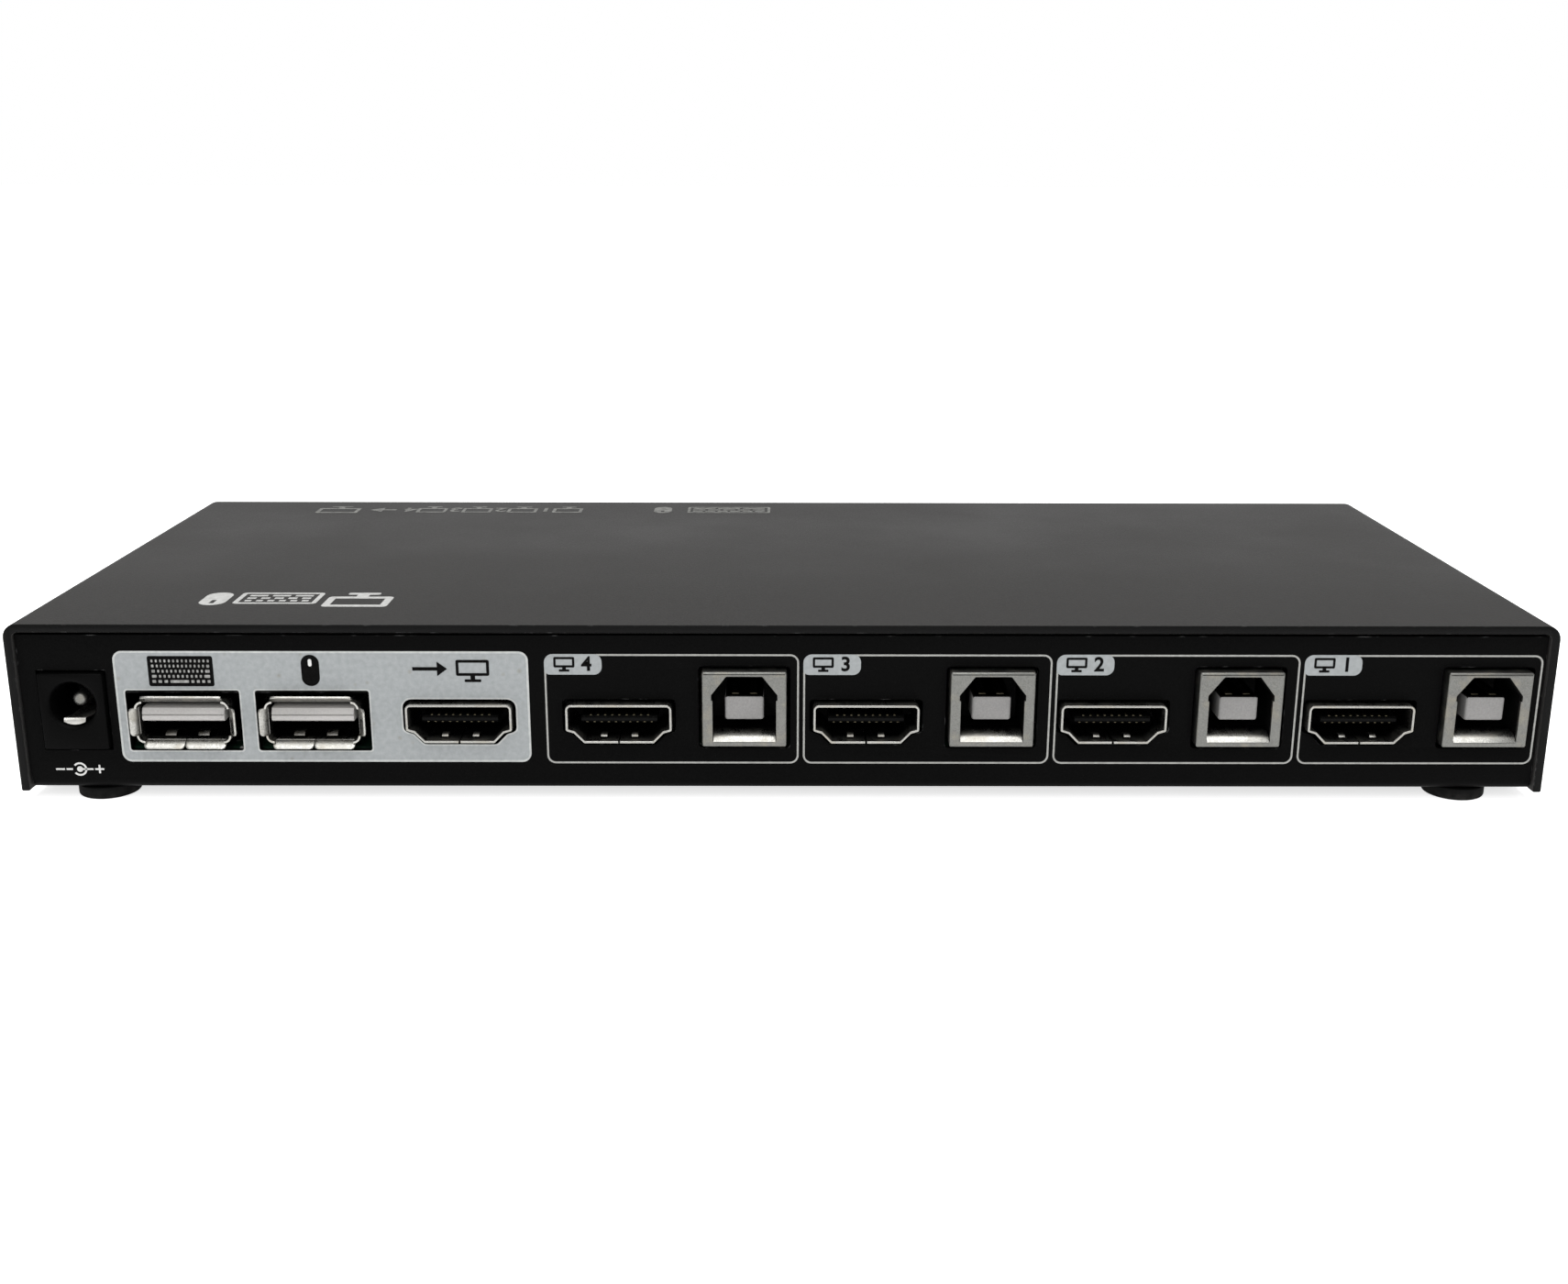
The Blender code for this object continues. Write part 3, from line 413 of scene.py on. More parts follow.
def powder_coat(name, dark, light, bare, grain, roughness, specular, texture, painted_rear_shade=None):
    """Baked powder paint: fine orange peel, cloudy gloss and bright wear along its edges.

    The last argument is a painted shade: a near-black colour for faces turned to the rear, standing in for
    the shade on the sheet's cut edge there."""
    paint = Finish(name, specular=specular)
    peel = paint.noise(grain, 3)
    speck = paint.noise(grain * 0.45, 2)
    cloud = paint.noise(28 * MM, 3)
    colour = paint.mix(paint.spread(speck, 0.36, 0.64), dark, light)
    colour = paint.mix(paint.spread(cloud, 0.3, 0.75, 0, 0.35), colour, light)
    worn = paint.times(paint.edges(0.25 * MM), paint.spread(paint.noise(1.6 * MM, 4), 0.6, 0.72, 0, 0.8))
    # Painted shade: faces turned to the rear take the near-black colour, for the shade on the rear cut edge.
    if painted_rear_shade:
        colour = paint.mix(paint.facing((0, -1, 0)), colour, painted_rear_shade)
    colour = paint.mix(worn, colour, bare)
    rough = paint.spread(paint.plus(cloud, speck), 0.7, 1.3, roughness - 0.08, roughness + 0.1)
    return paint.finished(colour, rough, paint.bump(paint.plus(peel, speck), texture))


def nickel(name, tone=(0.62, 0.61, 0.57), roughness=0.26, painted_shade_depth=None):
    """Nickel-plated sheet: drawn streaks along Y, faint stains, and painted shade that darkens it deep
    inside.

    The last argument is where the painted shade begins and where it is full, along Y."""
    metal = Finish(name, metallic=1.0)
    drawn_out = metal.stretched((1, 0.06, 1))
    streaks = metal.noise(0.12 * MM, 4, drawn_out)
    stain = metal.noise(2.2 * MM, 4)
    dark = tuple(channel * 0.55 for channel in tone)
    colour = metal.mix(metal.spread(streaks, 0.35, 0.65, 0, 0.55), tone, dark)
    colour = metal.mix(metal.spread(stain, 0.52, 0.72, 0, 0.4), colour, (0.3, 0.27, 0.21))
    # Painted shade: deeper inside the socket the colour goes to near black, standing in for the shade there.
    if painted_shade_depth:
        inside = metal.spread(metal.height("Y"), painted_shade_depth[0], painted_shade_depth[1])
        colour = metal.mix(inside, colour, (0.02, 0.02, 0.02))
    rough = metal.spread(metal.plus(streaks, stain), 0.7, 1.3, roughness - 0.08, roughness + 0.16)
    return metal.finished(colour, rough, metal.bump(streaks, 0.004 * MM, 0.6))


def moulded(name, dark, light, roughness=0.45, specular=0.5, grain=0.25 * MM, texture=0.004 * MM, painted_shade_depth=None):
    """Injection-moulded plastic: a fine spark-eroded grain and slight flow marks."""
    plastic = Finish(name, specular=specular)
    fine = plastic.noise(grain, 3)
    flow = plastic.noise(5 * MM, 2, plastic.stretched((0.3, 1, 1)))
    colour = plastic.mix(plastic.spread(plastic.plus(fine, flow), 0.75, 1.25), dark, light)
    # Painted shade: deeper in, the colour falls to near black, for the shade round and behind a socket's
    # tongue.
    if painted_shade_depth:
        inside = plastic.spread(plastic.height("Y"), painted_shade_depth[0], painted_shade_depth[1])
        colour = plastic.mix(inside, colour, tuple(channel * 0.06 for channel in dark))
    rough = plastic.spread(plastic.plus(fine, flow), 0.7, 1.3, roughness - 0.07, roughness + 0.09)
    return plastic.finished(colour, rough, plastic.bump(fine, texture))


def printed(name, dark, light, roughness=0.5, specular=0.2, blotch=0.7 * MM, spots=0.0):
    """Screen-printed ink: even, with pin-hole specks, mottled where it lies thin, and brownish spots."""
    ink = Finish(name, specular=specular)
    mottle = ink.noise(blotch, 4)
    speck = ink.noise(0.18 * MM, 2)
    colour = ink.mix(ink.spread(mottle, 0.35, 0.7), light, dark)
    colour = ink.mix(ink.spread(speck, 0.3, 0.7, 0, 0.35), colour, dark)
    if spots:
        stain = ink.spread(ink.flecks(3.1 * MM), 0.14, 0.05, 0, spots)
        colour = ink.mix(stain, colour, (0.16, 0.14, 0.11))
    rough = ink.spread(speck, 0.3, 0.7, roughness - 0.08, roughness + 0.08)
    return ink.finished(colour, rough, ink.bump(speck, 0.004 * MM))


def rubber(name):
    """Moulded rubber, dusty and scuffed pale towards the surface that it stands on."""
    pad = Finish(name, specular=0.05)
    grain = pad.noise(0.2 * MM, 4)
    dust = pad.times(pad.spread(pad.noise(1.2 * MM, 4), 0.4, 0.7), pad.spread(pad.height("Z"), 1.5 * MM, 0))
    clean = pad.mix(grain, grey(0.002), grey(0.006))
    colour = pad.mix(pad.times(dust, 0.5), clean, grey(0.03, 0.05))
    rough = pad.spread(grain, 0.3, 0.7, 0.65, 0.85)
    return pad.finished(colour, rough, pad.bump(grain, 0.03 * MM))


def laminate(name):
    """A populated board's solder mask: dark green, with fine traces, tinned dots and cloudy flux."""
    mask = Finish(name, specular=0.3)
    along = mask.noise(1.1 * MM, 0.5, mask.stretched((1, 0.12, 1)))
    across = mask.noise(1.4 * MM, 0.5, mask.stretched((0.12, 1, 1)))
    trace = mask.plus(mask.spread(along, 0.5, 0.52, 0, 0.5), mask.spread(across, 0.5, 0.52, 0, 0.5))
    colour = mask.mix(trace, (0.0025, 0.010, 0.006), (0.006, 0.024, 0.013))
    vias = mask.spread(mask.flecks(2.3 * MM), 0.16, 0.12)
    colour = mask.mix(vias, colour, (0.25, 0.25, 0.24))
    rough = mask.spread(mask.noise(6 * MM, 3), 0.3, 0.7, 0.25, 0.5)
    return mask.finished(colour, rough, mask.bump(trace, 0.02 * MM))


def clear_acrylic(name):
    """Clear moulded acrylic, a little hazy, with faint flow lines."""
    clear = Finish(name, roughness=0.12)
    flow = clear.noise(0.8 * MM, 3, clear.stretched((1, 0.15, 1)))
    clear.shader.inputs["Transmission Weight"].default_value = 0.8
    colour = clear.mix(flow, (0.62, 0.66, 0.63), (0.8, 0.84, 0.82))
    rough = clear.spread(flow, 0.3, 0.7, 0.08, 0.22)
    return clear.finished(colour, rough, clear.bump(flow, 0.01 * MM))


def shrink_sleeve(name, top):
    """A capacitor's dark sleeve, folded over a bare aluminium end above the given height."""
    sleeve = Finish(name, specular=0.5)
    crease = sleeve.noise(0.9 * MM, 3, sleeve.stretched((1, 1, 0.25)))
    bare = sleeve.spread(sleeve.height("Z"), top - 0.06 * MM, top - 0.02 * MM)
    dark = sleeve.mix(crease, (0.006, 0.008, 0.02), (0.016, 0.02, 0.05))
    sleeve.set("Metallic", bare)
    colour = sleeve.mix(bare, dark, grey(0.45))
    rough = sleeve.spread(crease, 0.3, 0.7, 0.25, 0.4)
    return sleeve.finished(colour, rough, sleeve.bump(crease, 0.02 * MM))


COVER_PAINT = powder_coat(
    "cover_powder_coat",
    dark=grey(0.022, 0.03),
    light=grey(0.036, 0.03),
    bare=grey(0.3),
    grain=0.42 * MM,
    roughness=0.42,
    specular=0.085,
    texture=0.03 * MM,
    # painted shade on the cover's rear cut edge
    painted_rear_shade=grey(0.0012),
)
TRAY_PAINT = powder_coat(
    "tray_powder_coat",
    dark=grey(0.0008),
    light=grey(0.0020),
    bare=grey(0.10),
    grain=0.35 * MM,
    roughness=0.5,
    specular=0.025,
    texture=0.012 * MM,
)
LABEL_INK = printed("label_ink", (0.215, 0.227, 0.230), (0.262, 0.277, 0.281), 0.45, spots=0.45)
# Painted highlight: a paler ink for a bright rim along the label's edges.
HIGHLIGHT_RIM_INK = printed("label_painted_highlight_ink", (0.30, 0.31, 0.305), (0.40, 0.41, 0.40), 0.45)
LINE_INK = printed("frame_line_ink", (0.22, 0.22, 0.21), (0.30, 0.30, 0.285), 0.5)
WHITE_INK = printed("white_ink", (0.42, 0.42, 0.41), (0.55, 0.55, 0.54), 0.5, blotch=0.6 * MM)
KEY_INK = printed("key_ink", (0.13, 0.13, 0.125), (0.30, 0.30, 0.29), 0.5, blotch=0.5 * MM)
BLACK_INK = printed("black_ink", (0.001, 0.001, 0.001), (0.003, 0.003, 0.003), 0.55, 0.03)
FADED_INK = printed("faded_ink", (0.09, 0.09, 0.085), (0.20, 0.20, 0.19), 0.55, blotch=0.8 * MM)
SIGN_INK = printed("cover_sign_ink", (0.34, 0.34, 0.33), (0.46, 0.46, 0.45), 0.5, blotch=0.9 * MM)
IN_SHELL = (SOCKET_FACE + 0.9 * MM, SOCKET_FACE + 3 * MM)  # where the painted shade inside a socket begins and where it is full
IN_BOX = (IN_SHELL[0], IN_SHELL[1] + 1 * MM)
BY_TONGUE = (IN_SHELL[1] - 0.5 * MM, IN_SHELL[1] + 3 * MM)
SHELL_STEEL = nickel("flat_shell_nickel", (0.42, 0.415, 0.39), painted_shade_depth=IN_SHELL)
VIDEO_STEEL = nickel("video_shell_nickel", (0.34, 0.335, 0.315), 0.3, painted_shade_depth=IN_SHELL)
# Painted shade: the same nickel as the other shells, toned far darker for how dim the square shells' faces
# look.
SHADED_SQUARE_STEEL = nickel("square_shell_nickel_painted_shade", (0.17, 0.17, 0.16), 0.4, painted_shade_depth=IN_BOX)
PIN_STEEL = nickel("centre_pin_steel", (0.2, 0.2, 0.19), 0.42)
PIN_NICKEL = nickel("contact_pin_nickel", (0.6, 0.59, 0.56), 0.3)
GOLD = nickel("contact_gilt", (0.22, 0.19, 0.12), 0.35, painted_shade_depth=IN_SHELL)
# The tongues carry painted shade towards their roots.
TONGUE_PLASTIC = moulded("tongue_plastic", grey(0.27, 0.03), grey(0.34, 0.03), 0.5, 0.3, painted_shade_depth=BY_TONGUE)
SQUARE_TONGUE_PLASTIC = moulded(
    "square_tongue_plastic", grey(0.17, 0.02), grey(0.22, 0.02), 0.5, 0.2, painted_shade_depth=BY_TONGUE
)
# Painted shade: the body behind a flat socket's tongue is near black for the dark cavity, though it is
# moulded with the tongue in one pale plastic.
PAINTED_SHADE_BODY_PLASTIC = moulded("socket_body_painted_shade", grey(0.004), grey(0.009), 0.5, 0.1)
# The video sockets' own black plastic; on the square sockets' bodies the same near black is painted shade.
BLACK_PLASTIC_AND_PAINTED_SHADE = moulded("socket_black_plastic_and_painted_shade", grey(0.0012), grey(0.0025), 0.45, 0.05)
INLET_PLASTIC = moulded("inlet_plastic", grey(0.0008), grey(0.0018), 0.42, 0.028)
RUBBER = rubber("foot_rubber")
BUTTON_PLASTIC = moulded("button_plastic", grey(0.006), grey(0.012), 0.4, 0.25)
PLUNGER_PLASTIC = moulded("plunger_plastic", grey(0.38, 0.03), grey(0.5, 0.03), 0.45, 0.4)
SWITCH_PLASTIC = moulded("switch_plastic", grey(0.008), grey(0.015), 0.5, 0.3)
CHIP_RESIN = moulded("chip_resin", grey(0.01), grey(0.02), 0.55, 0.3, 0.12 * MM)
BEEPER_PLASTIC = moulded("beeper_plastic", grey(0.008), grey(0.014), 0.4, 0.35)
FERRITE = moulded("inductor_ferrite", grey(0.04, -0.05), grey(0.075, -0.05), 0.6, 0.3, 0.2 * MM, 0.01 * MM)
SINK_METAL = nickel("anodised_aluminium", (0.045, 0.045, 0.05), 0.42)
SCREW_ZINC = nickel("black_zinc", (0.10, 0.10, 0.11), 0.38)
BOARD_SCREW_ZINC = nickel("bright_zinc", (0.55, 0.56, 0.58), 0.3)
LAMINATE = laminate("board_laminate")
ACRYLIC = clear_acrylic("guide_acrylic")
SLEEVE = shrink_sleeve("capacitor_sleeve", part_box("bulk_capacitor")[1].z)


# The case


def dress_case():
    cover = softened("top_cover", 0.15 * MM)
    fit(cover, COVER_PAINT, replaces=["top_cover"])
    tray = softened("base_tray", 0.1 * MM)
    fit(tray, TRAY_PAINT, replaces=["base_tray"])


FOOT_EDGE = 0.3 * MM


def dress_feet():
    """Moulded feet: a rounded edge, a shallow ring round the middle, and a raised pad to stand on."""
    for corner in ("rear_left", "rear_right", "front_left", "front_right"):
        low, high, across = placed(f"foot_{corner}")
        radius, height = (high.x - low.x) / 2, high.z - low.z
        profile = [(0, height), (radius - 0.1 * MM, height), (radius, height - 0.1 * MM)]
        profile += arc((radius - FOOT_EDGE, FOOT_EDGE), FOOT_EDGE, 0, -90, 6)
        ring = ((0.62, 0), (0.58, 0.12), (0.5, 0.12), (0.46, 0), (0, 0))
        profile += [(radius * share, up * MM) for share, up in ring]
        foot = turned(f"rubber_foot_{corner}", profile, (across, (low.y + high.y) / 2, low.z))
        fit(foot, RUBBER, replaces=[f"foot_{corner}"])


# Sockets. Each kind is made from its shell's CAD box, about the middle of its width.

FLARE = 0.85 * MM  # how far a flat socket's lead-in tabs stand out from its tube
TAB_DEPTH = 1.25 * MM
FLAT_SHEET, FLAT_CORNER = 0.3 * MM, 1.1 * MM
VIDEO_SEAM, FLAT_SEAM = 0.22 * MM, 0.1 * MM
VIDEO_RADII = [r * MM for r in (0.3, 0.3, 0.25, 0.3, 0.75, 0.75, 0.3, 0.25)]  # foot, slopes, shoulders, top


def with_seam(corners, radii, sheet, seam, steps=5):
    """A ring of sheet round an outline, open along a narrow seam at the bottom middle."""
    left, right = corners[0], corners[1]
    middle = (left[0] + right[0]) / 2
    opened = [(middle + seam / 2, left[1]), *corners[1:], left, (middle - seam / 2, left[1])]
    opened_radii = [0, *radii[1:], radii[0], 0]
    inner = inset(corners, sheet)
    floor = inner[0][1]
    inner_opened = [(middle + seam / 2, floor), *inner[1:], inner[0], (middle - seam / 2, floor)]
    inner_radii = [0 if radius == 0 else max(radius - sheet, 0.1 * MM) for radius in opened_radii]
    return rounded(opened, opened_radii, steps) + rounded(inner_opened, inner_radii, steps)[::-1]


def sheet_through(name, rows, thickness, offset=0.0, out=None):
    """Sheet metal through rows of points. out is the way that its outer face looks."""
    bm = bmesh.new()
    rows = [[bm.verts.new(spot) for spot in row] for row in rows]
    for near, far in zip(rows, rows[1:]):
        for column in range(len(near) - 1):
            bm.faces.new((near[column], near[column + 1], far[column + 1], far[column]))
    bm.normal_update()
    if out and bm.faces[:][0].normal.dot(Vector(out)) < 0:
        bmesh.ops.reverse_faces(bm, faces=bm.faces)
    piece = from_bmesh(name, bm)
    sheet = piece.modifiers.new("sheet", "SOLIDIFY")
    sheet.thickness = thickness
    sheet.offset = offset
    return piece


def lead_in_tab(root, along, out, half_width):
    """A tab of sheet that bends outwards towards the front, with rounded front corners.

    root is the middle of its back edge, along and out are its width's and its bend's directions."""
    depth, corner, steps, columns = TAB_DEPTH, 0.5 * MM, 9, 14
    across = [2 * column / columns - 1 for column in range(columns + 1)]
    rows = []
    for step in range(steps + 1):
        share = step / steps
        past_corner = max(corner - depth * (1 - share), 0)
        half = half_width - (corner - sqrt(corner**2 - past_corner**2))
        rise = FLARE * share**1.4 - 0.01 * MM
        middle = Vector(root) + Vector(out) * rise + Vector((0, -depth * share, 0))
        rows.append([middle + Vector(along) * half * spot for spot in across])
    tab = sheet_through("tab", rows, FLAT_SHEET - 0.02 * MM, -1, out)
    edges = tab.modifiers.new("edges", "BEVEL")
    edges.width = 0.05 * MM
    edges.segments = 2
    edges.angle_limit = radians(50)
    return applied(tab)


def dress_flat_usb(label):
    """A tube of sheet with a seam, a lead-in tab on each side of its mouth, and two springs in its floor."""
    node = f"{label}_usb_shell"
    low, high, middle = placed(node)
    face, back = low.y, high.y
    half, bottom, top = (high.x - low.x) / 2 - FLARE, low.z + FLARE, high.z - FLARE
    level = (bottom + top) / 2
    corners = shifted(rectangle(-half, bottom, half, top), middle, 0)
    ring = with_seam(corners, [FLAT_CORNER] * 4, FLAT_SHEET, FLAT_SEAM)
    parts = [drawn("tube", [ring], "rear", face + 1.1 * MM, back, 0.045 * MM)]
    inner_radius = FLAT_CORNER - FLAT_SHEET
    for index, (side, upright) in enumerate(((1, 1), (-1, 1), (-1, -1), (1, -1))):
        centre = (middle + side * (half - FLAT_CORNER), level + upright * (top - level - FLAT_CORNER))
        start = 90 * index
        loop = arc(centre, FLAT_CORNER, start, start + 90) + arc(centre, inner_radius, start + 90, start)
        parts.append(drawn("corner", [loop], "rear", face + 0.15 * MM, face + 1.2 * MM, 0.05 * MM))
    root_y = face + TAB_DEPTH
    half_tab, half_side = 5.7 * MM, 2.05 * MM
    parts.append(lead_in_tab((middle, root_y, top), (1, 0, 0), (0, 0, 1), half_tab))
    quarter = (half_tab - FLAT_SEAM / 2) / 2
    for side in (-1, 1):
        root = (middle + side * half, root_y, level)
        parts.append(lead_in_tab(root, (0, 0, 1), (side, 0, 0), half_side))
        root = (middle + side * (half_tab - quarter), root_y, bottom)
        parts.append(lead_in_tab(root, (1, 0, 0), (0, 0, -1), quarter))
    spots = (-2.3 * MM, 2.3 * MM)
    parts += leaf_springs(middle, spots, face, bottom + FLAT_SHEET, 1.5 * MM, 0.95 * MM, 7.2 * MM)
    fit(united(f"{label}_usb_nickel_shell", parts), SHELL_STEEL, replaces=[node])
    dress_flat_usb_insert(label, middle, face, bottom, top)


def leaf_springs(middle, offsets, face, floor, width, rise, reach):
    """Springs that bend up out of a socket's floor and hold the plug."""
    path = [(0.85, 0.0), (0.7, 0.18), (0.55, 0.55), (0.46, 0.85)]
    path += [(0.38, 1.0), (0.3, 0.98), (0.24, 0.8), (0.2, 0.5)]
    outline = thickened([(face + y * reach, floor + z * rise) for y, z in path], 0.18 * MM)
    starts = [middle + offset - width / 2 for offset in offsets]
    return [drawn("spring", [outline], "left", start, start + width, 0.03 * MM) for start in starts]


def socket_body(name, node, shell, root, bottom):
    """The moulding behind a socket's tongue. It fills the shell, and drops to the board behind it."""
    low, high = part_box(node)
    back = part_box(shell)[1].y + 0.3 * MM
    outline = [(root, bottom), (back, bottom), (back, low.z)]
    outline += [(high.y, low.z), (high.y, high.z), (root, high.z)]
    return drawn(name, [outline], "left", low.x, high.x, 0.08 * MM)


def dress_flat_usb_insert(label, middle, face, bottom, top):
    """A tongue with a long chamfer over its front, four contacts under it, and the body behind."""
    node = f"{label}_usb_insert"
    root = face + 9 * MM
    low, high = top - 3.0 * MM, top - 1.05 * MM
    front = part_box(node)[0].y
    chamfer = 0.85 * MM
    nose = [(0.25, 0), (0, 0.2), (0, 0.8), (0.22, 0.83), (0.22, 0.98), (0.02, 1.02)]
    profile = [(root + 0.5 * MM, low)]
    profile += [(front + y * MM, low + z * MM) for y, z in nose]
    profile += [(front + chamfer * 0.5, high - 0.12 * MM), (front + chamfer, high), (root + 0.5 * MM, high)]
    name, half = f"{label}_usb_tongue", 5.7 * MM
    tongue = drawn(name, [profile], "left", middle - half, middle + half, 0.03 * MM)
    fit(tongue, TONGUE_PLASTIC)
    body = socket_body(f"{label}_usb_body", node, f"{label}_usb_shell", root, bottom + 0.6 * MM)
    # painted shade: the near-black body stands for the shade in the cavity
    fit(body, PAINTED_SHADE_BODY_PLASTIC, replaces=[node])
    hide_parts(node)
    spots = [(middle + offset * MM, low, -1) for offset in (-3.5, -1.0, 1.0, 3.5)]
    dress_contacts(f"{label}_usb", spots, 1.0 * MM, front + 0.8 * MM, root)


def dress_contacts(label, spots, width, start, end, thickness=0.14 * MM):
    """Flat contacts on a tongue. A spot is (centre, level, side), and side is 1 over it and -1 under it."""
    strips = []
    for centre, level, side in spots:
        bottom, top = sorted((level - side * 0.03 * MM, level + side * thickness))
        low, high = (centre - width / 2, start, bottom), (centre + width / 2, end, top)
        strips.append(block("contact", low, high, 0.04 * MM))
    fit(united(f"{label}_contacts", strips), GOLD)


def dress_video(label):
    """A tube of sheet with sloping lower sides, its tongue, and 19 contacts in two rows on the tongue."""
    node = f"{label}_shell"
    low, high, middle = placed(node)
    face, back = low.y, high.y
    sheet = 0.34 * MM
    ring = with_seam(video_corners(node, 0), VIDEO_RADII, sheet, VIDEO_SEAM, 4)
    parts = [drawn("tube", [ring], "rear", face, back, 0.09 * MM)]
    parts += leaf_springs(middle, (-2.15 * MM, 2.15 * MM), face, low.z + sheet, 0.9 * MM, 0.75 * MM, 5 * MM)
    fit(united(f"{label}_nickel_shell", parts), VIDEO_STEEL, replaces=[node])

    insert = f"{label}_insert"
    root = face + 7 * MM
    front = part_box(insert)[0].y
    tongue_low, tongue_high = low.z + 2.7 * MM, low.z + 3.6 * MM
    profile = [
        (root + 0.5 * MM, tongue_low),
        (front + 0.3 * MM, tongue_low),
        (front, tongue_low + 0.25 * MM),
        (front, tongue_high - 0.25 * MM),
        (front + 0.3 * MM, tongue_high),
        (root + 0.5 * MM, tongue_high),
    ]
    tongue = drawn("tongue", [profile], "left", middle - 5.3 * MM, middle + 5.3 * MM, 0.05 * MM)
    corners = inset(video_corners(node, 0), 0.7 * MM)
    plug = drawn("plug", [corners], "rear", root, back + 0.3 * MM, 0.05 * MM)
    insert_low, insert_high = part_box(insert)
    foot = block(
        "foot",
        (middle - 5.5 * MM, back + 0.3 * MM, insert_low.z),
        (middle + 5.5 * MM, insert_high.y, insert_high.z),
        0.1 * MM,
    )
    body = united(f"{label}_body", [tongue, plug, foot])
    fit(body, BLACK_PLASTIC_AND_PAINTED_SHADE, replaces=[insert])
    pitch, rows = 0.5 * MM, ((tongue_low, -1), (tongue_high, 1))
    spots = [(middle + (number - 9) * pitch, *rows[number % 2]) for number in range(19)]
    dress_contacts(label, spots, 0.3 * MM, front + 0.35 * MM, root, 0.1 * MM)


def square_mouth(middle, low):
    """A square socket's opening: cut-off upper corners, and a small step in each side below them."""
    upper, lower, top_half = 4.6 * MM, 4.42 * MM, 2.5 * MM
    bottom, step_low, step_high, top = (low + height * MM for height in (0.7, 6.75, 7.55, 10.25))
    right = [(lower, bottom), (lower, step_low), (upper, step_low), (upper, step_high), (top_half, top)]
    corners = right + [(-across, up) for across, up in reversed(right)]
    radii = [0.25, 0.05, 0.05, 0.2, 0.3, 0.3, 0.2, 0.05, 0.05, 0.25]
    return rounded(shifted(corners, middle, 0), [radius * MM for radius in radii], 3)


def dress_square_usb(computer):
    """A folded box with a face plate whose mouth has a seam over it and a curled lip under it."""
    node = f"pc{computer}_usb_shell"
    low, high, middle = placed(node)
    face, back = low.y, high.y
    sheet = 0.4 * MM
    outer = block("outer", low, high, 0.3 * MM, 4)
    past = 1 * MM
    hollow = block(
        "hollow",
        (low.x + sheet, face + 0.5 * MM, low.z + sheet),
        (high.x - sheet, back + past, high.z - sheet),
        0.05 * MM,
    )
    mouth = drawn("mouth", [square_mouth(middle, low.z)], "rear", face - past, face + past)
    groove = block(
        "groove",
        (low.x + 0.25 * MM, face - past, high.z - 0.42 * MM),
        (high.x - 0.25 * MM, face + 0.25 * MM, high.z - 0.3 * MM),
        0.01 * MM,
    )
    cut(outer, hollow, mouth, groove)
    lip_z = low.z + 0.7 * MM
    curl = [(0.1, -0.05), (0.25, 0.12), (0.5, 0.42), (0.9, 0.75), (1.5, 0.98), (2.4, 1.08), (3.6, 1.1)]
    outline = thickened([(face + y * MM, lip_z + z * MM) for y, z in curl], 0.2 * MM)
    name, half = f"pc{computer}_usb_nickel_lip", 4.35 * MM
    lip = drawn(name, [outline], "left", middle - half, middle + half, 0.04 * MM)
    # The lip keeps the paler nickel; the shell's darker nickel is painted shade.
    fit(lip, SHELL_STEEL)
    outer.name = f"pc{computer}_usb_nickel_shell"
    fit(outer, SHADED_SQUARE_STEEL, replaces=[node])
    dress_square_usb_insert(f"pc{computer}_usb", middle, face, low.z)


def dress_square_usb_insert(label, middle, face, floor):
    """A block of a tongue with two contacts over it and two under it, and the body behind."""
    insert = f"{label}_insert"
    body = softened(insert, 0.06 * MM, name=f"{label}_body")
    # Painted shade: the body behind the square socket's pale tongue is near black, for the shade inside the
    # socket.
    fit(body, BLACK_PLASTIC_AND_PAINTED_SHADE, replaces=[insert])
    half, bottom, top = 2.7 * MM, floor + 3.62 * MM, floor + 7.1 * MM
    tip, root = face + 1.2 * MM, face + 9.5 * MM
    low, high = (middle - half, tip, bottom), (middle + half, root + 0.5 * MM, top)
    tongue = block(f"{label}_tongue", low, high, 0.35 * MM, 3)
    fit(tongue, SQUARE_TONGUE_PLASTIC)
    rows = ((bottom, -1), (top, 1))
    spots = [(middle + side * 1.25 * MM, *row) for row in rows for side in (-1, 1)]
    dress_contacts(label, spots, 1.0 * MM, tip + 0.9 * MM, root)


def dress_inlet():
    """The power inlet: a moulded block with a bore, its round pin and a curved leaf in the bore's floor."""
    housing = softened("power_inlet_housing", 0.2 * MM)
    fit(housing, INLET_PLASTIC, replaces=["power_inlet_housing"])
    low, high, middle = placed("power_inlet_pin")
    radius, length, nose = (high.x - low.x) / 2, high.y - low.y, 0.55 * MM
    centre = (middle, low.y, (low.z + high.z) / 2)
    curve = arc((radius - nose, 0), nose, 0, 90, 8)
    profile = [(0, 0), (0.16 * MM, 0)]
    profile += [(across, nose - up) for across, up in reversed(curve)]
    profile += [(radius, length), (0, length)]
    pin = turned("power_pin", profile, centre, "Y", 40)
    fit(pin, PIN_STEEL, replaces=["power_inlet_pin"])
    dress_inlet_spring(centre)


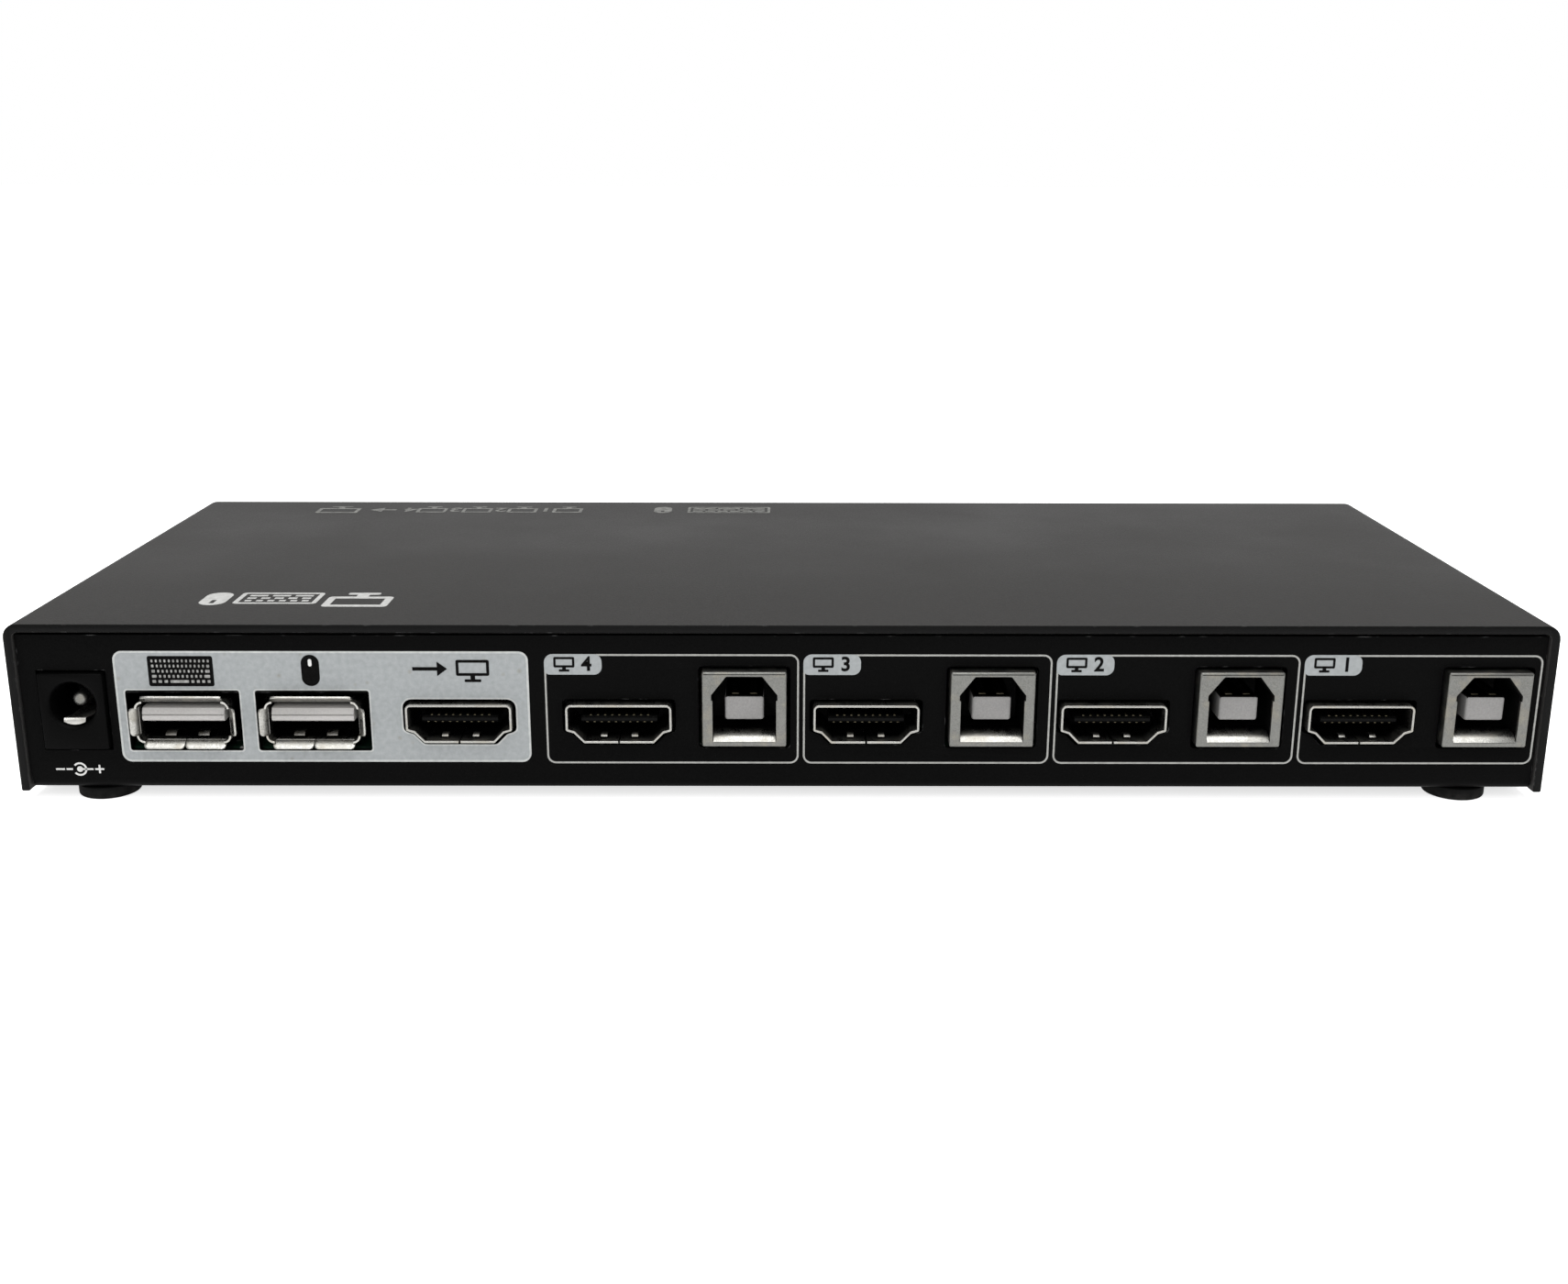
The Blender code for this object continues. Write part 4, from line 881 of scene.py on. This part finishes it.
def dress_inlet_spring(centre):
    """A leaf along the bore's floor. Its front end is bent down steeply, into the bore's curve."""
    low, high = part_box("power_inlet_spring")
    reach = high.y - low.y + 0.5 * MM
    bore, flat, half, columns = 2.95 * MM, 2.05 * MM, 1.5 * MM, 12
    ramp = [(0, 0), (0.005, 0.4), (0.012, 0.75), (0.022, 0.94), (0.04, 1), (0.09, 0.8), (0.3, 0.2), (1, 0.1)]
    rows = []
    for share, risen in ramp:
        across = [half * (2 * column / columns - 1) for column in range(columns + 1)]
        down = [sqrt(bore**2 - offset**2) * (1 - risen) + flat * risen for offset in across]
        depth = high.y - reach * (1 - share)
        rows.append([(centre[0] + x, depth, centre[2] - z) for x, z in zip(across, down)])
    leaf = applied(sheet_through("power_leaf_spring", rows, 0.15 * MM))
    fit(shaded(leaf, 50), PIN_NICKEL, replaces=["power_inlet_spring"])


# Prints on the socket panel. Outlines are (x, z) in the frame, drawn as thin layers of ink.

LABEL_LEFT, LABEL_RIGHT = -92.4 * MM, -35.2 * MM
LABEL_BOTTOM, LABEL_TOP = PRINT_BASE + 3.5 * MM, PRINT_BASE + 19.62 * MM
LABEL_CORNER = 1.3 * MM
FRAME_EDGES = [x * MM for x in (-33.3, 2.5, 37.53, 71.83, 105.45)]
FRAME_GAP = 0.3 * MM
FRAME_BOTTOM, FRAME_TOP = PRINT_BASE + 3.3 * MM, PRINT_BASE + 19.25 * MM
FRAME_LINE, FRAME_CORNER = 0.25 * MM, 1.2 * MM
TAB_WIDTH, TAB_HEIGHT = 7.95 * MM, 2.95 * MM
SOCKET_CLEARANCE = 0.5 * MM


def ink(name, loops, finish, layer=0):
    """A print on the socket panel. Each layer lies on the one below it."""
    surface = REAR_PANEL - layer * INK
    fit(drawn(name, loops, "rear", surface - INK, surface + SUNK), finish)


def socket_outline(node, corner, clearance=SOCKET_CLEARANCE):
    low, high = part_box(node)
    return rounded(inset(rectangle(low.x, low.z, high.x, high.z), -clearance), corner, 3)


def video_corners(node, grown):
    """The outline of a video socket: a wide box over a narrower foot, joined by slopes."""
    low, high, middle = placed(node)
    half = (high.x - low.x) / 2
    foot, knee = half - 2.52 * MM, half - 1.12 * MM
    right = [(foot, 0), (knee, 1.45 * MM), (half, 1.8 * MM), (half, high.z - low.z)]
    corners = [(-across, up) for across, up in reversed(right)]
    return inset(shifted(corners[3:] + right + corners[:3], middle, low.z), -grown)


def video_outline(node, grown):
    """The outline grown outwards, with its radii grown too."""
    radii = [max(radius + grown, 0.1 * MM) for radius in VIDEO_RADII]
    return rounded(video_corners(node, grown), radii, 5)


def print_label():
    """The silver field round the sockets for the desk, with a painted highlight in paler ink along every
    edge.
    """
    rim, opening_highlight_width = 0.28 * MM, 0.2 * MM
    field = rectangle(LABEL_LEFT, LABEL_BOTTOM, LABEL_RIGHT, LABEL_TOP)
    outside = rounded(field, LABEL_CORNER)
    openings = {}
    highlight_rims = {"panel_label": [outside, rounded(inset(field, rim), LABEL_CORNER - rim)]}
    for label in FLAT_USB:
        node = f"{label}_usb_shell"
        openings[label] = socket_outline(node, 0.35 * MM)
        around = socket_outline(node, 0.45 * MM, SOCKET_CLEARANCE + opening_highlight_width)
        highlight_rims[f"{label}_usb"] = [around, openings[label]]
    openings["video"] = video_outline("video_out_shell", SOCKET_CLEARANCE)
    highlight_rims["video_out"] = [video_outline("video_out_shell", SOCKET_CLEARANCE + rim * 0.8), openings["video"]]
    ink("panel_label", [outside, *openings.values()], LABEL_INK)
    # Painted highlight: paler bands along the label's outer edge and round its openings.
    for name, loops in highlight_rims.items():
        ink(f"{name}_rim", loops, HIGHLIGHT_RIM_INK, 1)


def print_keyboard_sign():
    """A keyboard: five rows of pale keys on a black plate, with a long key in the last row."""
    left, right = -87.65 * MM, -78.65 * MM
    bottom, top = PRINT_BASE + 14.55 * MM, PRINT_BASE + 18.9 * MM
    ink("keyboard_sign", [rounded(rectangle(left, bottom, right, top), 0.3 * MM)], BLACK_INK, 1)
    rows = [
        [1.0] * 14,
        [1.4] + [1.0] * 12 + [1.6],
        [1.7] + [1.0] * 11 + [2.3],
        [2.2] + [1.0] * 10 + [2.8],
        [1.2, 1.2, 1.2, 6.4, 1.0, 1.0, 1.0, 1.0],
    ]
    margin, gap = 0.5 * MM, 0.34 * MM
    pitch = (top - bottom - 2 * margin + gap) / len(rows)
    keys = []
    for row, widths in enumerate(rows):
        room = right - left - 2 * margin - gap * (len(widths) - 1)
        unit = room / sum(widths)
        across = left + margin
        key_top = top - margin - row * pitch
        for width in widths:
            key = rectangle(across, key_top - pitch + gap, across + width * unit, key_top)
            keys.append(rounded(key, 0.07 * MM, 2))
            across += width * unit + gap
    ink("keyboard_sign_keys", keys, KEY_INK, 2)


def print_mouse_sign():
    middle, low, high = -65.27 * MM, PRINT_BASE + 14.6 * MM, PRINT_BASE + 19.1 * MM
    half, wheel = 1.25 * MM, 0.25 * MM
    body = rectangle(middle - half, low, middle + half, high)
    ink("mouse_sign", [rounded(body, half * 0.98, 12)], BLACK_INK, 1)
    slot = rectangle(middle - wheel, high - 1.65 * MM, middle + wheel, high - 0.6 * MM)
    ink("mouse_sign_wheel", [rounded(slot, wheel * 0.96)], WHITE_INK, 2)


def screen_sign(middle, bottom, width, height, line):
    """Loops of a screen on a stand: all round it, and the picture inside it."""
    low, foot = bottom + height * 0.28, bottom + line
    neck, base = line * 0.8, width * 0.25
    right = [(base, bottom), (base, foot), (neck, foot), (neck, low), (width / 2, low)]
    right.append((width / 2, bottom + height))
    outline = shifted(right, middle, 0) + shifted(mirrored(right), middle, 0)
    picture = rectangle(middle - width / 2, low, middle + width / 2, bottom + height)
    radii = [line * 0.3] * 2 + [0] * 2 + [line * 0.6] * 4 + [0] * 2 + [line * 0.3] * 2
    return [rounded(outline, radii, 3), inset(picture, line)]


def arrow_sign(left, right, level, line, head):
    """A solid arrow pointing right."""
    neck, half = right - head, line / 2
    lower = [(left, -half), (neck, -half), (neck, -head * 0.75), (right, 0)]
    upper = [(across, -up) for across, up in reversed(lower[:-1])]
    return shifted(lower + upper, 0, level)


def print_screen_sign():
    """A screen with an arrow towards it, over the socket that the picture leaves by."""
    bottom = PRINT_BASE + 15.2 * MM
    ink("video_out_sign", screen_sign(-42.9 * MM, bottom, 4.6 * MM, 3.2 * MM, 0.4 * MM), BLACK_INK, 1)
    arrow = arrow_sign(-51.2 * MM, -46.4 * MM, bottom + 1.9 * MM, 0.5 * MM, 1.4 * MM)
    ink("video_out_sign_arrow", [arrow], BLACK_INK, 1)


def print_number(name, number, height, middle, facing, layer, finish, slot, bold=0.07 * MM, turn=0.0):
    """A digit on a panel, round its middle. layer is where it starts and ends, out of the panel."""
    curve = bpy.data.curves.new(name, "FONT")
    curve.body = str(number)
    curve.align_x = "CENTER"
    curve.align_y = "CENTER"
    curve.size = height / 0.72  # the font's digits are 0.72 of its size high
    curve.offset = bold
    curve.resolution_u = 6
    start, end = layer
    curve.extrude = (end - start) / 2
    mesh = mesh_of(linked(name, curve))
    place = [middle[0], middle[1]]
    place.insert(AXIS_OF[facing], (start + end) / 2)
    mesh.transform(Matrix.Translation(place) @ FACING[facing] @ Matrix.Rotation(turn, 4, "Z"))
    fit(linked(name, mesh), finish)


def print_computer_frames():
    """A thin frame round each computer's pair of sockets, with a numbered silver tab in its corner."""
    on_tab = (REAR_PANEL - 3 * INK, REAR_PANEL - 2 * INK)
    for index, computer in enumerate(reversed(COMPUTERS)):
        left, right = FRAME_EDGES[index] + FRAME_GAP, FRAME_EDGES[index + 1] - FRAME_GAP
        outer = rectangle(left, FRAME_BOTTOM, right, FRAME_TOP)
        hollow = rounded(inset(outer, FRAME_LINE), FRAME_CORNER - FRAME_LINE)
        ink(f"pc{computer}_frame", [rounded(outer, FRAME_CORNER), hollow], LINE_INK)
        tab = rectangle(left, FRAME_TOP - TAB_HEIGHT, left + TAB_WIDTH, FRAME_TOP)
        tab = rounded(tab, [0.8 * MM, 1.1 * MM, 1.1 * MM, FRAME_CORNER])
        ink(f"pc{computer}_tab", [tab], LABEL_INK, 1)
        level = FRAME_TOP - TAB_HEIGHT / 2
        loops = screen_sign(left + 2.75 * MM, level - 1.03 * MM, 2.9 * MM, 2.1 * MM, 0.32 * MM)
        ink(f"pc{computer}_sign", loops, BLACK_INK, 2)
        name, middle = f"pc{computer}_number", (left + 5.85 * MM, level)
        print_number(name, computer, 2.05 * MM, middle, "rear", on_tab, BLACK_INK, "tray_paint")


def print_power_sign():
    """The sign for a plug whose middle is positive: minus, an open ring round a dot, plus."""
    middle, level, line = -98.6 * MM, PRINT_BASE + 2.35 * MM, 0.26 * MM
    ring, dot, away, arm, gap = 1.0 * MM, 0.42 * MM, 2.75 * MM, 0.62 * MM, 0.25 * MM
    opening = 38
    outer, inner = (
        arc((middle, level), radius, 180 + opening, 540 - opening, 20) for radius in (ring, ring - line)
    )

    def bar(left, right):
        return rectangle(middle + left, level - line / 2, middle + right, level + line / 2)

    shapes = {
        "ring": outer + inner[::-1],
        "dot": circle((middle, level), dot, 20),
        "lead_left": bar(arm + gap - away, -ring),
        "lead_right": bar(dot, away - arm - gap),
        "minus": bar(-away - arm, arm - away),
        "plus": plus_outline(middle + away, level, arm, line / 2),
    }
    parts = [
        drawn(f"power_sign_{label}", [outline], "rear", REAR_PANEL - INK, REAR_PANEL + SUNK)
        for label, outline in shapes.items()
    ]
    fit(united("power_sign", parts), WHITE_INK)


def plus_outline(across, up, arm, half):
    quarter = [(arm, -half), (arm, half), (half, half)]
    points = []
    for turn in range(4):
        angle = turn * pi / 2
        points += [(x * cos(angle) - y * sin(angle), x * sin(angle) + y * cos(angle)) for x, y in quarter]
    return shifted(points, across, up)


# Signs on the cover and the front panel. The cover's are laid out to be read from the front.


COVER_LAYER = (COVER_HIGH.z - SUNK, COVER_HIGH.z + INK)


def cover_sign(name, loops, middle, finish=FADED_INK):
    """A print on the cover, laid out about its middle with the front edge at its foot."""
    turned_round = [[(middle[0] - across, middle[1] - up) for across, up in loop] for loop in loops]
    fit(drawn(f"cover_{name}", turned_round, "up", *COVER_LAYER), finish)


def keyboard_loops(middle, bottom, width, height, line):
    """A keyboard's frame with a few bar-shaped keys."""
    frame_box = rectangle(middle - width / 2, bottom, middle + width / 2, bottom + height)
    loops = [rounded(frame_box, line), inset(frame_box, line)]
    room = inset(frame_box, line * 2)
    left, right, low, high = room[0][0], room[1][0], room[0][1], room[2][1]
    pitch = (high - low + line) / 3
    for row, keys in enumerate((3, 5, 6)):
        width_each = (right - left + line) / keys
        for key in range(keys):
            start = left + key * width_each
            key_low = low + row * pitch
            loops.append(rectangle(start, key_low, start + width_each - line, key_low + pitch - line))
    return loops


def mouse_loops(middle, bottom, width, height):
    body = rectangle(middle - width / 2, bottom, middle + width / 2, bottom + height)
    wheel = rectangle(-width * 0.09, 0, width * 0.09, height * 0.26)
    return [rounded(body, width * 0.48, 8), shifted(wheel, middle, bottom + height * 0.6)]


def print_cover_signs():
    """A bold row of desk signs near the rear edge, and a fine row of signs in two groups near the front edge.
    """
    place, low = (-70.2 * MM, COVER_LOW.y + 13.7 * MM), -4.0 * MM
    cover_sign("screen", screen_sign(-9.0 * MM, low, 9.4 * MM, 8.0 * MM, 1.1 * MM), place, SIGN_INK)
    cover_sign("keyboard", keyboard_loops(2.8 * MM, low, 12.0 * MM, 6.4 * MM, 0.7 * MM), place, SIGN_INK)
    cover_sign("mouse", mouse_loops(11.8 * MM, low, 3.8 * MM, 7.2 * MM), place, SIGN_INK)

    row_y, low = COVER_LOW.y + 79.7 * MM, -2.6 * MM
    place = (-60.2 * MM, row_y)
    for computer in COMPUTERS:
        across = (computer - 3.4) * 8.2 * MM
        screen = screen_sign(across - 1.6 * MM, low, 5.4 * MM, 5.2 * MM, 0.6 * MM)
        cover_sign(f"computer_{computer}", screen, place)
        name, middle = f"cover_number_{computer}", (place[0] - across - 2.4 * MM, row_y)
        style = (FADED_INK, "cover_paint", 0.1 * MM, pi)
        print_number(name, computer, 3.4 * MM, middle, "up", COVER_LAYER, *style)
    cover_sign("arrow", [arrow_sign(9.8 * MM, 14.6 * MM, 0.4 * MM, 0.8 * MM, 2.4 * MM)], place)
    cover_sign("shared_screen", screen_sign(20.2 * MM, low, 7.6 * MM, 5.8 * MM, 0.7 * MM), place)

    place = (-13.0 * MM, row_y)
    cover_sign("small_keyboard", keyboard_loops(-3.4 * MM, low, 15.0 * MM, 5.2 * MM, 0.5 * MM), place)
    cover_sign("small_mouse", mouse_loops(8.6 * MM, low, 3.2 * MM, 5.4 * MM), place)


def print_button_numbers():
    layer = (FRONT_PANEL - SUNK, FRONT_PANEL + INK)
    for computer in COMPUTERS:
        low, _, across = placed(f"select_button_{computer}")
        middle = (across, (low.z + CASE_BASE) / 2 + 0.2 * MM)
        name = f"button_number_{computer}"
        print_number(name, computer, 2.6 * MM, middle, "front", layer, WHITE_INK, "tray_paint")


# Buttons and what is inside the case


def dress_button(computer):
    """A cap with a dished face, a rounded rim with a fine groove behind it, and a flange."""
    node = f"select_button_{computer}"
    low, high, middle = placed(node)
    flange, length = (high.x - low.x) / 2, high.y - low.y
    radius, rim = flange - 0.7 * MM, 0.35 * MM
    dish_radius = radius - 0.75 * MM
    profile = [(0, 0), (flange - 0.08 * MM, 0), (flange, 0.08 * MM), (flange, 0.72 * MM)]
    profile += [(flange - 0.08 * MM, 0.8 * MM), (radius, 0.8 * MM)]
    profile += [(radius, length - 1.3 * MM), (radius - 0.1 * MM, length - 1.2 * MM)]
    profile += [(radius - 0.1 * MM, length - 1.1 * MM), (radius, length - 1.0 * MM)]
    profile += arc((radius - rim, length - rim), rim, 0, 90, 6)
    dish = [step / 8 for step in range(9)]
    profile += [(dish_radius * (1 - share), length - 0.4 * MM * sin(share * pi / 2)) for share in dish]
    place = (middle, low.y, (low.z + high.z) / 2)
    cap = turned(f"select_cap_{computer}", profile, place, "Y", 64)
    low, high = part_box(f"switch_plunger_{computer}")
    slack = Vector((0.2 * MM, 0.2 * MM, 0.2 * MM))
    cut(cap, block("plunger_room", low - slack, high + slack, 0.05 * MM))
    fit(cap, BUTTON_PLASTIC, f"button_{computer}", [node])


def paint(finish, *nodes):
    """Gives CAD nodes a material. Their shapes stay as they are."""
    for node in nodes:
        NODES[node].data.materials.clear()
        NODES[node].data.materials.append(finish)


def paint_cad_nodes():
    for number in COMPUTERS:
        paint(SCREW_ZINC, f"cover_screw_{number}")
        paint(BOARD_SCREW_ZINC, f"board_screw_{number}")
        paint(SWITCH_PLASTIC, f"push_switch_{number}")
        paint(PLUNGER_PLASTIC, f"switch_plunger_{number}")
    paint(LAMINATE, "circuit_board")
    paint(ACRYLIC, "light_guide")
    paint(CHIP_RESIN, "video_switch_chip", "usb_hub_chip", "controller_chip")
    paint(SINK_METAL, "heat_sink")
    paint(BEEPER_PLASTIC, "beeper")
    paint(SLEEVE, "bulk_capacitor")
    paint(FERRITE, "power_inductor")


# The room

WORLD_LIGHT = 0.5  # what the room's walls give, beside the white that the camera sees
FLOOR_SIZE, FLOOR_GLOW = 12.0, 0.7
OVERHEAD_POWER, FILL_POWER = 11.0, 7.0


def make_world():
    """An evenly lit white room: pure white to the camera, and half as bright to the object."""
    world = bpy.data.worlds.new("studio")
    bpy.context.scene.world = world
    world.use_nodes = True
    tree = world.node_tree
    background = tree.nodes["Background"]
    path = tree.nodes.new("ShaderNodeLightPath")
    shade = tree.nodes.new("ShaderNodeMapRange")
    tree.links.new(path.outputs["Is Camera Ray"], shade.inputs["Value"])
    shade.inputs["To Min"].default_value = WORLD_LIGHT
    shade.inputs["To Max"].default_value = 1.0
    background.inputs["Color"].default_value = (1, 1, 1, 1)
    tree.links.new(shade.outputs["Result"], background.inputs["Strength"])


def make_floor():
    bm = bmesh.new()
    bmesh.ops.create_grid(bm, x_segments=8, y_segments=8, size=FLOOR_SIZE / 2)
    floor = solid("studio_floor", bm)
    floor.location.z = CAD_BOX[0][2]
    paper = bpy.data.materials.new("floor_paper")
    paper.use_nodes = True
    shader = paper.node_tree.nodes["Principled BSDF"]
    shader.inputs["Base Color"].default_value = (0.8, 0.8, 0.8, 1)
    shader.inputs["Roughness"].default_value = 0.9
    shader.inputs["Specular IOR Level"].default_value = 0.1
    shader.inputs["Emission Color"].default_value = (1, 1, 1, 1)
    shader.inputs["Emission Strength"].default_value = FLOOR_GLOW
    floor.data.materials.append(paper)


def light_room():
    softbox("overhead", (0.0, -0.05, 0.9), (0, 0, 0), 1.1, OVERHEAD_POWER)
    softbox("front_fill", (-0.1, -1.1, 0.75), (0, 0, 0.01), 0.7, FILL_POWER)


def softbox(name, place, target, size, power):
    lamp = bpy.data.lights.new(name, "AREA")
    lamp.shape = "SQUARE"
    lamp.size = size
    lamp.energy = power
    light = bpy.data.objects.new(name, lamp)
    bpy.context.scene.collection.objects.link(light)
    light.location = place
    aim = Vector(target) - Vector(place)
    light.rotation_euler = aim.to_track_quat("-Z", "Y").to_euler()


CAMERA_LENS = 38.84  # on a sensor 36 wide
CAMERA_YAW, CAMERA_PITCH, CAMERA_ROLL = radians(0.26), radians(15.83), radians(0.15)
CAMERA_PLACE = (-0.0009, COVER_LOW.y - 0.2235, 0.0870)


def set_camera():
    """Behind the socket panel, a hand's height above it, tilted down and a touch anticlockwise."""
    camera = bpy.data.objects.new("camera", bpy.data.cameras.new("camera"))
    bpy.context.scene.collection.objects.link(camera)
    bpy.context.scene.camera = camera
    camera.data.sensor_width = 36.0
    camera.data.lens = CAMERA_LENS
    camera.data.clip_start = 0.01
    yaw, pitch, roll = CAMERA_YAW, CAMERA_PITCH, CAMERA_ROLL
    forward = Vector((sin(yaw) * cos(pitch), cos(yaw) * cos(pitch), -sin(pitch)))
    right = Vector((cos(yaw), -sin(yaw), 0))
    up = right.cross(forward)
    across = right * cos(roll) + up * sin(roll)
    upright = up * cos(roll) - right * sin(roll)
    turn = Matrix((across, upright, -forward)).transposed()
    camera.matrix_world = Matrix.Translation(CAMERA_PLACE) @ turn.to_4x4()


dress_case()
dress_feet()
for label in FLAT_USB:
    dress_flat_usb(label)
for label in VIDEO:
    dress_video(label)
for computer in COMPUTERS:
    dress_square_usb(computer)
dress_inlet()
print_label()
print_keyboard_sign()
print_mouse_sign()
print_screen_sign()
print_computer_frames()
print_power_sign()
print_cover_signs()
print_button_numbers()
for computer in COMPUTERS:
    dress_button(computer)
paint_cad_nodes()
make_world()
make_floor()
light_room()
set_camera()

bpy.context.scene.view_settings.view_transform = "Standard"
